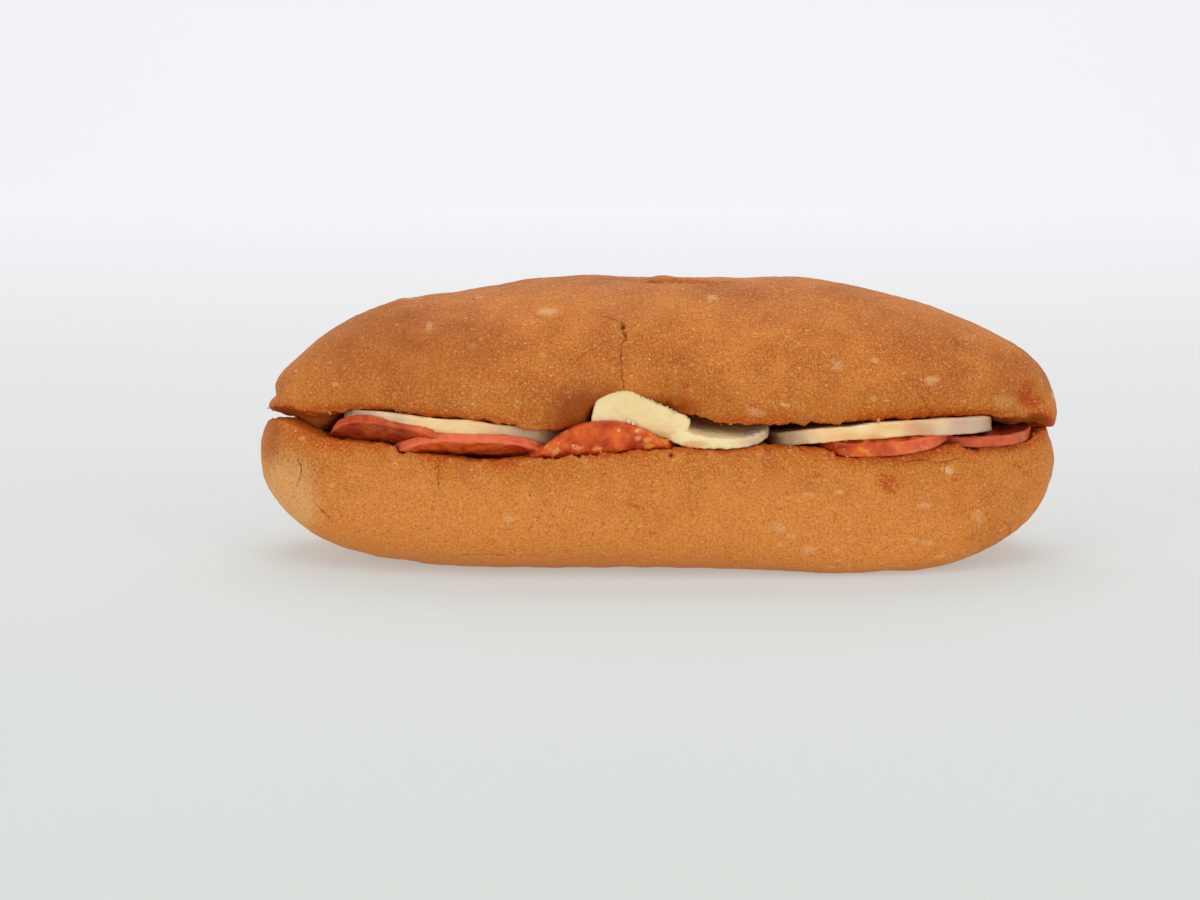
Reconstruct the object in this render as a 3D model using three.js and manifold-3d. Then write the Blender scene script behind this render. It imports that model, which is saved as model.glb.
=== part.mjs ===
// A long bread roll, cut open along its front and filled with overlapping slices of cured sausage
// and mild white cheese. The upper half lies on the lower half along the back, and the filling
// holds it open at the front, like a mouth.
//
// Units are millimetres. X runs along the roll, the open side of the cut faces -Y, and Z is up.
// The origin is the middle of the flat base that the roll stands on.

import * as THREE from 'three';
import { mergeVertices } from 'three/addons/utils/BufferGeometryUtils.js';
import Module from 'manifold-3d';

// ------------------------------------------------------------------ driving dimensions

const HALF_LENGTH = 100; // middle of the roll to its rounded ends
const HALF_WIDTH = 38; // middle of the roll to its front and back
const CREST_HEIGHT = 70; // base to the top of the upper half
const CUT_HEIGHT = 31.5; // base to the cut, where the two halves lie on each other
const TOUCH_GAP = 0.3; // clearance between pieces that touch
const PINCH_DEPTH = 7; // how far the middle of the upper half's front is pinched in
const HINGE_LINE = 14; // middle of the roll to the line behind which its halves lie together
const GAPE_SLOPE = 0.165; // rise of the upper cut face for each millimetre before that line
const EDGE_CURL = THREE.MathUtils.degToRad(20); // how far the crust turns in at the cut edge
const BASE_SINK = -0.8; // lowest point of the round section, which the level base cuts off
const SPINE_SHARE = 0.6; // length of the crest line as a share of the roll's length
const UPPER_PLAN_FULLNESS = 2.25; // plan of the upper half: 2 is an ellipse, more is squarer
const LOWER_PLAN_FULLNESS = 2.6; // plan of the lower half
const UPPER_SET_BACK = 1.8; // how far the upper half's left end lies behind the lower half's

const EDGE_ROUNDING = 0.7; // radius of the soft edges of a slice

const ROLL_STEPS = 64; // points round the roll
const CRUST_RINGS = 10; // rings between a cut edge and the crest or the base
const SLICE_STEPS = 22; // points round a slice

// ------------------------------------------------------------------ small helpers

const radians = THREE.MathUtils.degToRad;

function smoothStep(from, to, x) {
  const t = THREE.MathUtils.clamp((x - from) / (to - from), 0, 1);
  return t * t * (3 - 2 * t);
}

// A smooth hump of height 1 at the centre that fades out over the given width.
function bell(x, centre, width) {
  return Math.exp(-(((x - centre) / width) ** 2));
}

// The sum of humps along the roll, each given by its height and by its centre and width along X.
function humps(x, list) {
  return list.reduce((sum, { rise, at, width }) => sum + rise * bell(x, at, width), 0);
}

function signedPower(value, power) {
  return Math.sign(value) * Math.abs(value) ** power;
}

// Points evenly spaced along a closed superellipse, anticlockwise from its +X end. The two ends
// may lie at different distances from the middle.
function superellipse(count, leftReach, rightReach, halfWidth, fullness) {
  const fine = [];
  const fineSteps = 4000;
  for (let i = 0; i <= fineSteps; i += 1) {
    const angle = (i / fineSteps) * Math.PI * 2;
    const reach = Math.cos(angle) > 0 ? rightReach : leftReach;
    const x = reach * signedPower(Math.cos(angle), 2 / fullness);
    const y = halfWidth * signedPower(Math.sin(angle), 2 / fullness);
    const walked = i === 0 ? 0 : fine[i - 1].walked + Math.hypot(x - fine[i - 1].x, y - fine[i - 1].y);
    fine.push({ x, y, walked });
  }
  const total = fine[fineSteps].walked;
  const points = [];
  let next = 0;
  for (let j = 0; j < count; j += 1) {
    const target = (j / count) * total;
    while (fine[next + 1].walked < target) next += 1;
    const share = (target - fine[next].walked) / (fine[next + 1].walked - fine[next].walked);
    points.push({
      x: THREE.MathUtils.lerp(fine[next].x, fine[next + 1].x, share),
      y: THREE.MathUtils.lerp(fine[next].y, fine[next + 1].y, share),
    });
  }
  return points;
}

// A closed surface through rings of points, listed from the top of the body to its underside. The
// first and the last ring are folded flat onto a line or a point, which closes the surface.
function closedSurface(rings) {
  const count = rings[0].length;
  const positions = rings.flat().flatMap((p) => [p.x, p.y, p.z]);
  const index = [];
  for (let i = 0; i + 1 < rings.length; i += 1) {
    for (let j = 0; j < count; j += 1) {
      const k = (j + 1) % count;
      const [a, b, c, d] = [i * count + j, (i + 1) * count + j, (i + 1) * count + k, i * count + k];
      index.push(a, b, c, a, c, d);
    }
  }
  const geometry = new THREE.BufferGeometry();
  geometry.setAttribute('position', new THREE.Float32BufferAttribute(positions, 3));
  geometry.setIndex(index);
  return withoutFoldedFaces(mergeVertices(geometry, 1e-3));
}

// Drops the triangles that lost a corner when the folded rings were merged.
function withoutFoldedFaces(geometry) {
  const corners = geometry.index.array;
  const kept = [];
  for (let i = 0; i < corners.length; i += 3) {
    const [a, b, c] = [corners[i], corners[i + 1], corners[i + 2]];
    if (a !== b && b !== c && c !== a) kept.push(a, b, c);
  }
  geometry.setIndex(kept);
  return geometry;
}

// ------------------------------------------------------------------ the cut through the roll

// How much of the filling's pressure is felt at (x, y): 1 under the slices, 0 along the crust and
// behind the filling.
function pressedShare(x, y) {
  const outwards = (Math.abs(x / HALF_LENGTH) ** 2.4 + Math.abs(y / HALF_WIDTH) ** 2.4) ** (1 / 2.4);
  return smoothStep(0.93, 0.78, outwards) * smoothStep(18, 4, y);
}

// The lower half's front edge is dented under the slices and stands a little higher between them.
const LOWER_EDGE_DENTS = [
  { rise: 0.9, at: -72, width: 12 },
  { rise: -2.8, at: -42, width: 15 },
  { rise: 1.4, at: 18, width: 16 },
  { rise: -1.6, at: 55, width: 9 },
  { rise: 1.5, at: 80, width: 11 },
];
const LOWER_END_LIPS = [
  { rise: 1.2, at: -HALF_LENGTH, width: 10 },
  { rise: 1.6, at: HALF_LENGTH, width: 8 },
];
const LOWER_FRONT_LIP = [{ rise: 3.6, at: -92, width: 8 }];
const LOWER_PRESSED_DEPTH = 1.4; // how deep the filling presses into the lower half

// Height of the lower half's cut face. The slices press it hollow, and it curls up towards both
// ends.
function lowerCutHeight(x, y) {
  const dents = humps(x, LOWER_EDGE_DENTS) * smoothStep(12, -24, y);
  const lips = humps(x, LOWER_END_LIPS) + humps(x, LOWER_FRONT_LIP) * smoothStep(10, -14, y);
  return CUT_HEIGHT + dents + lips - LOWER_PRESSED_DEPTH * pressedShare(x, y);
}

// The upper half's front edge hangs down in lobes and is lifted between them, most of all in the
// pinched middle.
const UPPER_EDGE_LOBES = [
  { rise: 1.7, at: -86, width: 7 },
  { rise: 0.9, at: -78, width: 5 },
  { rise: 0.4, at: -70, width: 10 },
  { rise: -3.3, at: -29, width: 18 },
  { rise: 3.0, at: -3, width: 11 },
  { rise: -3.6, at: 21, width: 14 },
  { rise: -1.0, at: 40, width: 14 },
  { rise: 0.8, at: 84, width: 4 },
];
const UPPER_LEFT_LIFT = [{ rise: 3.1, at: -96, width: 12 }];
const UPPER_RIGHT_DROP = [{ rise: -2.0, at: HALF_LENGTH + 1, width: 6 }];
const RIGHT_LIP = [{ rise: 4.2, at: 96, width: 7.5 }];
const UPPER_PRESSED_DEPTH = 3; // how deep the filling presses into the upper half
const HINGE_ROUNDING = 4; // length over which the upper cut face turns up before the hinge line

// Height of the upper half's cut face. Behind the hinge line it lies on the lower half, and from
// there it rises to the open front. Near the right end only a lip of crust stands away from the
// lower half, and the crumb behind it is uncut.
function upperCutHeight(x, y) {
  const beforeHinge = (HINGE_LINE - y + Math.hypot(HINGE_LINE - y, HINGE_ROUNDING)) / 2;
  const lobes = humps(x, UPPER_EDGE_LOBES) * smoothStep(4, 4 - HALF_WIDTH, y);
  const ends = humps(x, UPPER_LEFT_LIFT) * smoothStep(26, -4, y) + humps(x, UPPER_RIGHT_DROP);
  const outwards = (Math.abs(x / HALF_LENGTH) ** 2.25 + Math.abs(y / HALF_WIDTH) ** 2.25) ** (1 / 2.25);
  const lip = humps(x, RIGHT_LIP) * smoothStep(0.86, 0.94, outwards) * smoothStep(-3, -12, y);
  const pressed = UPPER_PRESSED_DEPTH * pressedShare(x, y);
  const height = CUT_HEIGHT + GAPE_SLOPE * beforeHinge + lobes + ends + lip + pressed;
  return Math.max(height, lowerCutHeight(x, y)) + TOUCH_GAP;
}

// ------------------------------------------------------------------ the two halves of the roll

// A point of the plan outline, drawn in towards the crest line: reach 1 is the outline, 0 the line.
function drawnIn(point, reach) {
  return { x: (SPINE_SHARE + (1 - SPINE_SHARE) * reach) * point.x, y: reach * point.y };
}

// Rings of one half of the roll, from the middle line of its cut face out to its edge, and from
// there over the crust to its crest or base. The section is a superellipse that starts a little
// below its widest line, so that the crust turns in at the cut edge.
function halfRings({ outline, curlAt, fullnessAt, cutHeight, farHeight, push }) {
  const profiles = outline.map((point) => {
    const curl = curlAt(point);
    const power = 2 / fullnessAt(point);
    return { point, curl, power, edgeReach: Math.cos(curl) ** power, edgeDrop: Math.sin(curl) ** power };
  });
  const pushed = (x, y, z, share) => new THREE.Vector3(x, y + push(x, y, share), z);
  const cutFace = [0, 0.4, 0.68, 0.88].map((share) =>
    profiles.map(({ point, edgeReach }) => {
      const { x, y } = drawnIn(point, edgeReach * share);
      return pushed(x, y, cutHeight(x, y), 0);
    }),
  );
  const crust = Array.from({ length: CRUST_RINGS + 1 }, (_, i) =>
    profiles.map(({ point, curl, power, edgeReach, edgeDrop }) => {
      const angle = THREE.MathUtils.lerp(-curl, Math.PI / 2, i / CRUST_RINGS);
      const share = (signedPower(Math.sin(angle), power) + edgeDrop) / (1 + edgeDrop);
      const edge = drawnIn(point, edgeReach);
      const { x, y } = drawnIn(point, i < CRUST_RINGS ? Math.cos(angle) ** power : 0);
      const z = THREE.MathUtils.lerp(cutHeight(edge.x, edge.y), farHeight(x), share);
      return pushed(x, y, Math.max(z, 0), share);
    }),
  );
  return [...cutFace, ...crust];
}

const CREST_FALL_LEFT = 17; // how much lower the crest line would be at the left end
const CREST_FALL_RIGHT = 11.3; // the same at the right end
const CREST_DIP = [{ rise: -1.8, at: -52, width: 16 }];

// Height of the crest along the upper half: nearly level in the middle, with a shallow dip, and
// falling away to both ends.
function crestHeight(x) {
  if (x > 0) return CREST_HEIGHT - CREST_FALL_RIGHT * smoothStep(32, 92, x);
  return CREST_HEIGHT - CREST_FALL_LEFT * (-x / HALF_LENGTH) ** 3.15 + humps(x, CREST_DIP);
}

// How far the front of the upper half is pinched in at x. The pinch fades towards the crest, where
// the share of the height is 1, and towards the middle of the roll.
function pinch(x, y, share) {
  return PINCH_DEPTH * bell(x, -4, 15) * Math.max(1 - share, 0) ** 1.3 * Math.max(-y / HALF_WIDTH, 0);
}

// The upper half swells out above the cut edge and closes in a dome, rounder at the left end than
// at the right. Its edge curls in less at the ends and at the back.
function upperHalf() {
  const leftReach = HALF_LENGTH - UPPER_SET_BACK;
  const rings = halfRings({
    outline: superellipse(ROLL_STEPS, leftReach, HALF_LENGTH, HALF_WIDTH, UPPER_PLAN_FULLNESS),
    curlAt: ({ x, y }) => EDGE_CURL * (1 - 0.85 * (x / HALF_LENGTH) ** 6) * (y < 0 ? 1 : 0.8),
    fullnessAt: ({ x }) => 2 + 0.37 * smoothStep(50, 100, x),
    cutHeight: upperCutHeight,
    farHeight: crestHeight,
    push: pinch,
  });
  return closedSurface(rings.toReversed());
}

const LEFT_END_LIFT = 3.8; // how far the left end lifts off the table
const RIGHT_END_LIFT = 2.7; // the same at the right end
const SIDE_BULGE = [{ rise: 3.2, at: 55, width: 24 }]; // where the lower side is fullest

// Height of the middle of the underside, before the table cuts it off level.
function baseHeight(x) {
  const leftLift = LEFT_END_LIFT * smoothStep(50, 106, -x);
  const rightLift = RIGHT_END_LIFT * smoothStep(70, 104, x);
  return BASE_SINK + leftLift + rightLift;
}

// The lower half has upright sides that round under into a broad flat base, fullest right of the
// middle and rounder at the ends, which lift off the table.
function lowerHalf() {
  const rings = halfRings({
    outline: superellipse(ROLL_STEPS, HALF_LENGTH, HALF_LENGTH, HALF_WIDTH, LOWER_PLAN_FULLNESS),
    curlAt: () => EDGE_CURL,
    fullnessAt: ({ x }) => 3.6 + humps(x, SIDE_BULGE) - (x < 0 ? 1.3 : 1.7) * Math.abs(x / HALF_LENGTH) ** 7.7,
    cutHeight: lowerCutHeight,
    farHeight: baseHeight,
    push: () => 0,
  });
  return closedSurface(rings);
}

// ------------------------------------------------------------------ the slices

// Where a slice's middle surface lies for a point (u, v) of its flat outline, and which way it
// faces. Its near part, from `bendFrom` on, turns up through `bendAngle` (down if negative), and
// the slice curves up along its length by `sag` times u squared.
function bentSlice({ bendFrom = Infinity, bendRadius = 10, bendAngle = 0, sag = 0 }, u, v) {
  const beyond = Math.max(0, -v - bendFrom);
  const way = Math.sign(bendAngle);
  const fullAngle = Math.abs(radians(bendAngle));
  const angle = Math.min(beyond / bendRadius, fullAngle);
  const straight = Math.max(0, beyond - bendRadius * fullAngle);
  const along = bendRadius * Math.sin(angle) + straight * Math.cos(angle);
  const up = way * (bendRadius * (1 - Math.cos(angle)) + straight * Math.sin(angle));
  return {
    middle: new THREE.Vector3(u, v + beyond - along, up + sag * u * u),
    facing: new THREE.Vector3(-2 * sag * u, way * Math.sin(angle), Math.cos(angle)).normalize(),
  };
}

// The uneven outline of a hand-laid slice, as a factor on its size in the direction of (x, y).
function unevenness({ x, y }, { waviness = 0.02, phase = 0 }) {
  const direction = Math.atan2(y, x);
  return 1 + waviness * (Math.sin(3 * direction + phase) + 0.6 * Math.sin(5 * direction - 2 * phase));
}

// A slice with softly rounded edges. `grow` makes it that much larger all over, for cutting the
// room that it needs out of its neighbours.
function slice(shape, grow = 0) {
  const { centre, left, right, across, thickness } = shape;
  const { fullness = 2, slant = 0, pitch = 0, roll = 0, yaw = 0, shares = [0] } = shape;
  const outline = superellipse(SLICE_STEPS, left + grow, right + grow, across + grow, fullness);
  const half = thickness / 2 + grow;
  const shoulder = 1 - (0.7 * EDGE_ROUNDING) / Math.min(left, across);
  const levels = [
    ...[...shares, shoulder].map((share) => ({ share, height: half })),
    { share: 1, height: half - EDGE_ROUNDING },
    { share: 1, height: EDGE_ROUNDING - half },
    ...[shoulder, ...shares.toReversed()].map((share) => ({ share, height: -half })),
  ];
  const turn = new THREE.Matrix4().makeRotationFromEuler(
    new THREE.Euler(radians(-pitch), radians(-roll), radians(yaw), 'ZYX'),
  );
  const rings = levels.map(({ share, height }) =>
    outline.map((point) => {
      const size = share * unevenness(point, shape);
      const u = point.x * size;
      const v = point.y * size + slant * Math.max(0, u);
      const { middle, facing } = bentSlice(shape, u, v);
      return middle.addScaledVector(facing, height).applyMatrix4(turn).add(new THREE.Vector3(...centre));
    }),
  );
  return closedSurface(rings);
}

// Each slice reaches so far left, right and across from its centre. Pitch lifts its near edge and
// roll its right-hand end. Yaw turns it and its bend, seen from above. All three are in degrees.
// A bent slice has more rings, at the given shares of its size.
const SAUSAGE = { left: 18.5, right: 18.5, across: 18.5, thickness: 2.6 };
const CHEESE = { left: 27.5, right: 27.5, across: 21, thickness: 3.7, fullness: 2.7 };
const SOFT_BEND = [0, 0.45, 0.74];
const SHARP_BEND = [0, 0.5, 0.66, 0.82];

const SLICES = {
  sausage_slice_1: {
    ...SAUSAGE,
    shares: SOFT_BEND,
    phase: 1,
    fullness: 3,
    centre: [-61, -16.4, 32.3],
    yaw: -24,
    bendFrom: 7,
    bendRadius: 9,
    bendAngle: 47,
  },
  sausage_slice_2: {
    ...SAUSAGE,
    left: 20.2,
    right: 20.2,
    across: 19.2,
    fullness: 3.1,
    waviness: 0.01,
    shares: SOFT_BEND,
    phase: 2.5,
    centre: [-44.8, -17.6, 30.4],
    roll: -1.4,
    bendFrom: 8.5,
    bendRadius: 12,
    bendAngle: 40,
  },
  sausage_slice_3: {
    ...SAUSAGE,
    left: 22,
    right: 20,
    across: 22.2,
    shares: SHARP_BEND,
    waviness: 0.012,
    phase: 4,
    centre: [-13.6, -19.6, 31.6],
    roll: 4,
    bendFrom: 13.6,
    bendRadius: 2.2,
    bendAngle: 84,
  },
  sausage_slice_4: {
    ...SAUSAGE,
    shares: SOFT_BEND,
    thickness: 3.6,
    phase: 5,
    left: 14.4,
    right: 18.6,
    fullness: 3.1,
    waviness: 0.01,
    centre: [52.4, -18.7, 32.9],
    pitch: 3,
    roll: 4,
    bendFrom: 8,
    bendRadius: 25,
    bendAngle: -18,
  },
  sausage_slice_5: {
    ...SAUSAGE,
    left: 16,
    right: 16,
    across: 17,
    thickness: 2.8,
    centre: [76.8, -11.6, 32.5],
    roll: 0.6,
  },
  cheese_slice_1: {
    ...CHEESE,
    left: 28.3,
    right: 29,
    phase: 0.5,
    centre: [-50, -13.2, 34.8],
    pitch: 6,
    roll: -5.8,
    yaw: -3,
  },
  cheese_slice_3: {
    ...CHEESE,
    left: 28.5,
    right: 28.5,
    fullness: 2.8,
    centre: [54, -15.3, 34.4],
    pitch: 6,
    roll: 3.5,
    yaw: 4,
    sag: -0.0012,
  },
};

// The middle slice of cheese is torn: a flap of its near edge stands up, and the rest of it sags
// between its neighbours.
const TORN_CHEESE = {
  flap: {
    left: 10.7,
    right: 13.4,
    across: 23.4,
    fullness: 5,
    waviness: 0,
    thickness: 3.2,
    shares: SHARP_BEND,
    centre: [-5.8, -18.4, 35],
    slant: 0.42,
    bendFrom: 11.9,
    bendRadius: 3,
    bendAngle: 98,
  },
  bed: {
    ...CHEESE,
    left: 16,
    right: 14.6,
    thickness: 3,
    centre: [14, -15.2, 33.1],
    pitch: 2,
    roll: -5,
    sag: 0.015,
  },
};

// ------------------------------------------------------------------ soft pieces make room

const wasm = await Module();
wasm.setup();

function toSolid(geometry) {
  const vertProperties = new Float32Array(geometry.attributes.position.array);
  const triVerts = new Uint32Array(geometry.index.array);
  return new wasm.Manifold(new wasm.Mesh({ numProp: 3, vertProperties, triVerts }));
}

function toGeometry(solid) {
  const { vertProperties, triVerts } = solid.getMesh();
  const geometry = new THREE.BufferGeometry();
  geometry.setAttribute('position', new THREE.Float32BufferAttribute(vertProperties, 3));
  geometry.setIndex(Array.from(triVerts));
  return geometry;
}

// The slices as solids, each grown by the given amount all over.
function sliceSolids(grow) {
  const whole = Object.entries(SLICES).map(([name, shape]) => [name, toSolid(slice(shape, grow))]);
  const flap = toSolid(slice(TORN_CHEESE.flap, grow));
  const bed = toSolid(slice(TORN_CHEESE.bed, grow));
  return Object.fromEntries([...whole, ['cheese_slice_2', flap.add(bed)]]);
}

const slices = sliceSolids(0);
const clearances = sliceSolids(TOUCH_GAP);

// What is left of a piece once the room that the named slices take is cut out of it.
function yieldingTo(solid, names) {
  return names.reduce((left, name) => left.subtract(clearances[name]), solid);
}

// Which slices each slice gives way to, where they press on each other.
const YIELDS_TO = {
  sausage_slice_2: ['sausage_slice_1', 'sausage_slice_3'],
  sausage_slice_5: ['sausage_slice_4'],
  cheese_slice_1: ['sausage_slice_1', 'sausage_slice_2', 'sausage_slice_3'],
  cheese_slice_2: ['sausage_slice_3'],
  cheese_slice_3: ['sausage_slice_4', 'sausage_slice_5', 'cheese_slice_2'],
};

// ------------------------------------------------------------------ the sandwich

const crust = new THREE.MeshStandardMaterial({ name: 'crust', color: 0xbf7a3a, roughness: 0.6 });
const sausage = new THREE.MeshStandardMaterial({ name: 'sausage', color: 0xc4502c, roughness: 0.4 });
const cheese = new THREE.MeshStandardMaterial({ name: 'cheese', color: 0xf0dfae, roughness: 0.45 });

const sandwich = new THREE.Group();

function add(name, solid, material) {
  const mesh = new THREE.Mesh(toGeometry(solid), material);
  mesh.name = name;
  sandwich.add(mesh);
}

add('roll_lower_half', yieldingTo(toSolid(lowerHalf()), Object.keys(slices)), crust);
add('roll_upper_half', yieldingTo(toSolid(upperHalf()), Object.keys(slices)), crust);
for (const [name, solid] of Object.entries(slices)) {
  const material = name.startsWith('cheese') ? cheese : sausage;
  add(name, yieldingTo(solid, YIELDS_TO[name] ?? []), material);
}

export default sandwich;
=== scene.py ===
# %% [markdown]
# # A long roll filled with sausage and cheese
# A soft brown roll is cut open along its front and filled with overlapping slices of a coarse red
# sausage and a mild white cheese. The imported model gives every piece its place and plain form. The
# surfaces that the eye sees are worked out here again, fine enough for ragged edges, blisters,
# cracks and crumbs. Every form is a formula on a grid of numbers, so that a size can be changed in
# one line and the whole roll follows.

# %% Load the frame
import itertools

import bmesh
import bpy
import numpy as np
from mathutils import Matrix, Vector


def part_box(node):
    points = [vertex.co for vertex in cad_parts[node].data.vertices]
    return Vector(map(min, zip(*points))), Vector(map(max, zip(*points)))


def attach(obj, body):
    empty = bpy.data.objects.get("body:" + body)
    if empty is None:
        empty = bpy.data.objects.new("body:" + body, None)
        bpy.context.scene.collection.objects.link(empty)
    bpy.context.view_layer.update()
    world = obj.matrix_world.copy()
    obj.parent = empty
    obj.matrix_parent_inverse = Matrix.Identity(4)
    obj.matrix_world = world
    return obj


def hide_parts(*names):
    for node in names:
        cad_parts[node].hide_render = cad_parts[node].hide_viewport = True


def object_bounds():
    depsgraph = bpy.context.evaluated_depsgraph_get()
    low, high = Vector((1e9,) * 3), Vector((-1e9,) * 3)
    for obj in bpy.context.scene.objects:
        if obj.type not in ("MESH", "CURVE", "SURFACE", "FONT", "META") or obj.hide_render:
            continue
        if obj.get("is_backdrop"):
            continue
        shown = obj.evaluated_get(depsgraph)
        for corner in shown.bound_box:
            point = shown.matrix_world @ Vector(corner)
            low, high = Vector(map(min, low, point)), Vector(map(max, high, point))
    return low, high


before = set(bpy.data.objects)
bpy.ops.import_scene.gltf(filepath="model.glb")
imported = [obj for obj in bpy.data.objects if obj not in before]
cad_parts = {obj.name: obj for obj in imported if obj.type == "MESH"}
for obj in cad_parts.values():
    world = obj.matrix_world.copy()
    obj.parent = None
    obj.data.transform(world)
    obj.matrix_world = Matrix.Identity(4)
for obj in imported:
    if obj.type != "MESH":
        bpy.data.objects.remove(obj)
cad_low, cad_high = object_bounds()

print("the model's box, mm:", [round(1000 * x, 1) for x in (*cad_low, *cad_high)])

# %% [markdown]
# ## Sizes
# All sizes are in millimetres, because a baker or a cook would give them so, and meshes are made in
# metres at the last moment. The roll's length, width and height come from the model's box. X runs
# along the roll, the open side faces -Y, and Z is up.

# %% Driving sizes
MM = 0.001
HALF_LENGTH = (cad_high.x - cad_low.x) / 2 / MM
HALF_WIDTH = (cad_high.y - cad_low.y) / 2 / MM
CREST_HEIGHT = cad_high.z / MM
CUT_HEIGHT = 31.5  # base to the cut, where the two halves lie on each other
TOUCH_GAP = 0.3  # clearance between pieces that touch
EDGE_CURL = np.radians(20)  # how far the crust turns in at the cut edge
SPINE_SHARE = 0.6  # length of the crest line as a share of the roll's length
print("half length, half width and height, mm:",
      [round(size, 2) for size in (HALF_LENGTH, HALF_WIDTH, CREST_HEIGHT)])

# %% [markdown]
# ## Small tools for shapes
# Dough has no straight lines, so nearly every form below is a sum of soft humps and soft steps.
# They work on whole arrays at once: one call shapes a hundred thousand points.


# %% Steps and humps
def smooth_step(start, stop, x):
    """0 before start, 1 after stop, and an S-curve 3t^2 - 2t^3 between. start may be the larger."""
    t = np.clip((x - start) / (stop - start), 0, 1)
    return t * t * (3 - 2 * t)


def bell(x, centre, width):
    """A hump of height 1: e to the power of minus the squared distance from the centre in widths."""
    return np.exp(-(((x - centre) / width) ** 2))


def humps(x, rows):
    """The sum of bells along the roll, each a row of its rise, its centre and its width."""
    return sum(rise * bell(x, centre, width) for rise, centre, width in rows)


def signed_power(value, power):
    """The size of the value raised to the power, with the value's own sign."""
    return np.sign(value) * np.abs(value) ** power


def mix(a, b, share):
    """a where the share is 0, b where it is 1."""
    return a + (b - a) * share


# %% [markdown]
# ## Randomness with a scale
# Crust, crumb and meat are random, but each at a size of its own. Two tools cover them all. Ripples
# give soft unevenness of one wavelength, like a worn surface. Scattered dots give separate things,
# such as blisters, pores and bits of fat. Both depend only on the place in space and on a seed, so
# every run gives the same roll.


# %% Ripples and dots
def ripples(points, wavelength, seed, waves=26):
    """Soft noise of about -1 to 1: plane waves in random directions, with lengths near the given one,
    are added and divided by the root of their number."""
    rng = np.random.default_rng(seed)
    directions = rng.normal(size=(waves, 3))
    directions /= np.linalg.norm(directions, axis=1, keepdims=True)
    lengths = wavelength * rng.uniform(0.7, 1.4, waves)
    starts = rng.uniform(0, 2 * np.pi, waves)
    total = np.zeros(points.shape[:-1])
    for direction, length, start in zip(directions, lengths, starts):
        total += np.sin(points @ direction * (2 * np.pi / length) + start)
    return total / np.sqrt(waves)


def lottery(cells, seed, draw):
    """A number from 0 to 1 for each cell of a cubic lattice: its three whole numbers are multiplied by
    large odd numbers, mixed by shifts, and cut to their last 16 bits."""
    mixed = cells.astype(np.int64) * np.array([73856093, 19349663, 83492791])
    number = mixed[..., 0] ^ mixed[..., 1] ^ mixed[..., 2] ^ (seed * 2654435761 + draw * 40503)
    number = (number ^ (number >> 13)) * 1274126177
    number = number ^ (number >> 16)
    return (number & 0xFFFF) / 65535


def scattered_dots(points, spacing, seed):
    """Space is cut into cubes of the given spacing with one dot at a random place in each. Returns the
    distance from each point to its nearest dot, and that dot's own lucky number from 0 to 1."""
    home = np.floor(points / spacing)
    nearest = np.full(points.shape[:-1], np.inf)
    luck = np.zeros(points.shape[:-1])
    for shift in itertools.product((-1, 0, 1), repeat=3):
        cell = home + np.array(shift)
        place = np.stack([lottery(cell, seed, draw) for draw in (1, 2, 3)], axis=-1)
        distance = np.linalg.norm(points - (cell + place) * spacing, axis=-1)
        closer = distance < nearest
        nearest = np.where(closer, distance, nearest)
        luck = np.where(closer, lottery(cell, seed, 4), luck)
    return nearest, luck


sample = np.random.default_rng(1).uniform(-50, 50, (4000, 3))
heights = ripples(sample, 9, 1)
print("ripples lie between", heights.min().round(2), "and", heights.max().round(2))
print("mean distance to dots 5 mm apart:", scattered_dots(sample, 5, 1)[0].mean().round(2), "mm")


# %% [markdown]
# ## From rings of points to a mesh
# Every piece is a stack of closed rings, like the hoops of a barrel: an array with one row for each
# ring. Neighbouring rings are joined by four-sided faces, and the first and last ring are closed by
# one flat face each. Extrusions or sculpting would give the same closed bodies, but a stack of rings
# lets each point be shaped by a formula.


# %% Rings to mesh
def ring_faces(rows, columns):
    """Faces between neighbouring rings, and a face that closes the stack at each end."""
    ring = np.arange(columns)
    upper = (np.arange(rows - 1)[:, None] * columns + ring).ravel()
    upper_next = (np.arange(rows - 1)[:, None] * columns + np.roll(ring, -1)).ravel()
    walls = np.stack([upper, upper + columns, upper_next + columns, upper_next], axis=1)
    return [*walls.tolist(), ring.tolist(), (ring[::-1] + (rows - 1) * columns).tolist()]


def new_mesh(name, points, faces):
    """A smooth-shaded mesh object at the origin, from points in millimetres."""
    mesh = bpy.data.meshes.new(name)
    mesh.from_pydata((points.reshape(-1, 3) * MM).tolist(), [], faces)
    mesh.shade_smooth()
    mesh.update()
    piece = bpy.data.objects.new(name, mesh)
    bpy.context.scene.collection.objects.link(piece)
    return piece


def paint(piece, **marks):
    """Stores one number per point under each name, for the piece's material to read."""
    for name, values in marks.items():
        layer = piece.data.attributes.new(name, "FLOAT", "POINT")
        layer.data.foreach_set("value", np.asarray(values, np.float32).ravel())


def outward(points, flip=1):
    """Unit normals of a stack of rings: the cross product of the step to the next ring and the step
    along the ring, each taken from both neighbours."""
    down = np.gradient(points, axis=0)
    around = np.roll(points, -1, axis=1) - np.roll(points, 1, axis=1)
    normal = np.cross(down, around)
    return flip * normal / np.maximum(np.linalg.norm(normal, axis=-1, keepdims=True), 1e-9)


# %% [markdown]
# ## Rounded outlines
# A loaf seen from above, and a slice of anything, is a superellipse: an ellipse made squarer. Its
# points are spaced evenly along the line, with a wish for more of them on the open front, where the
# eye looks closest.


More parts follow.
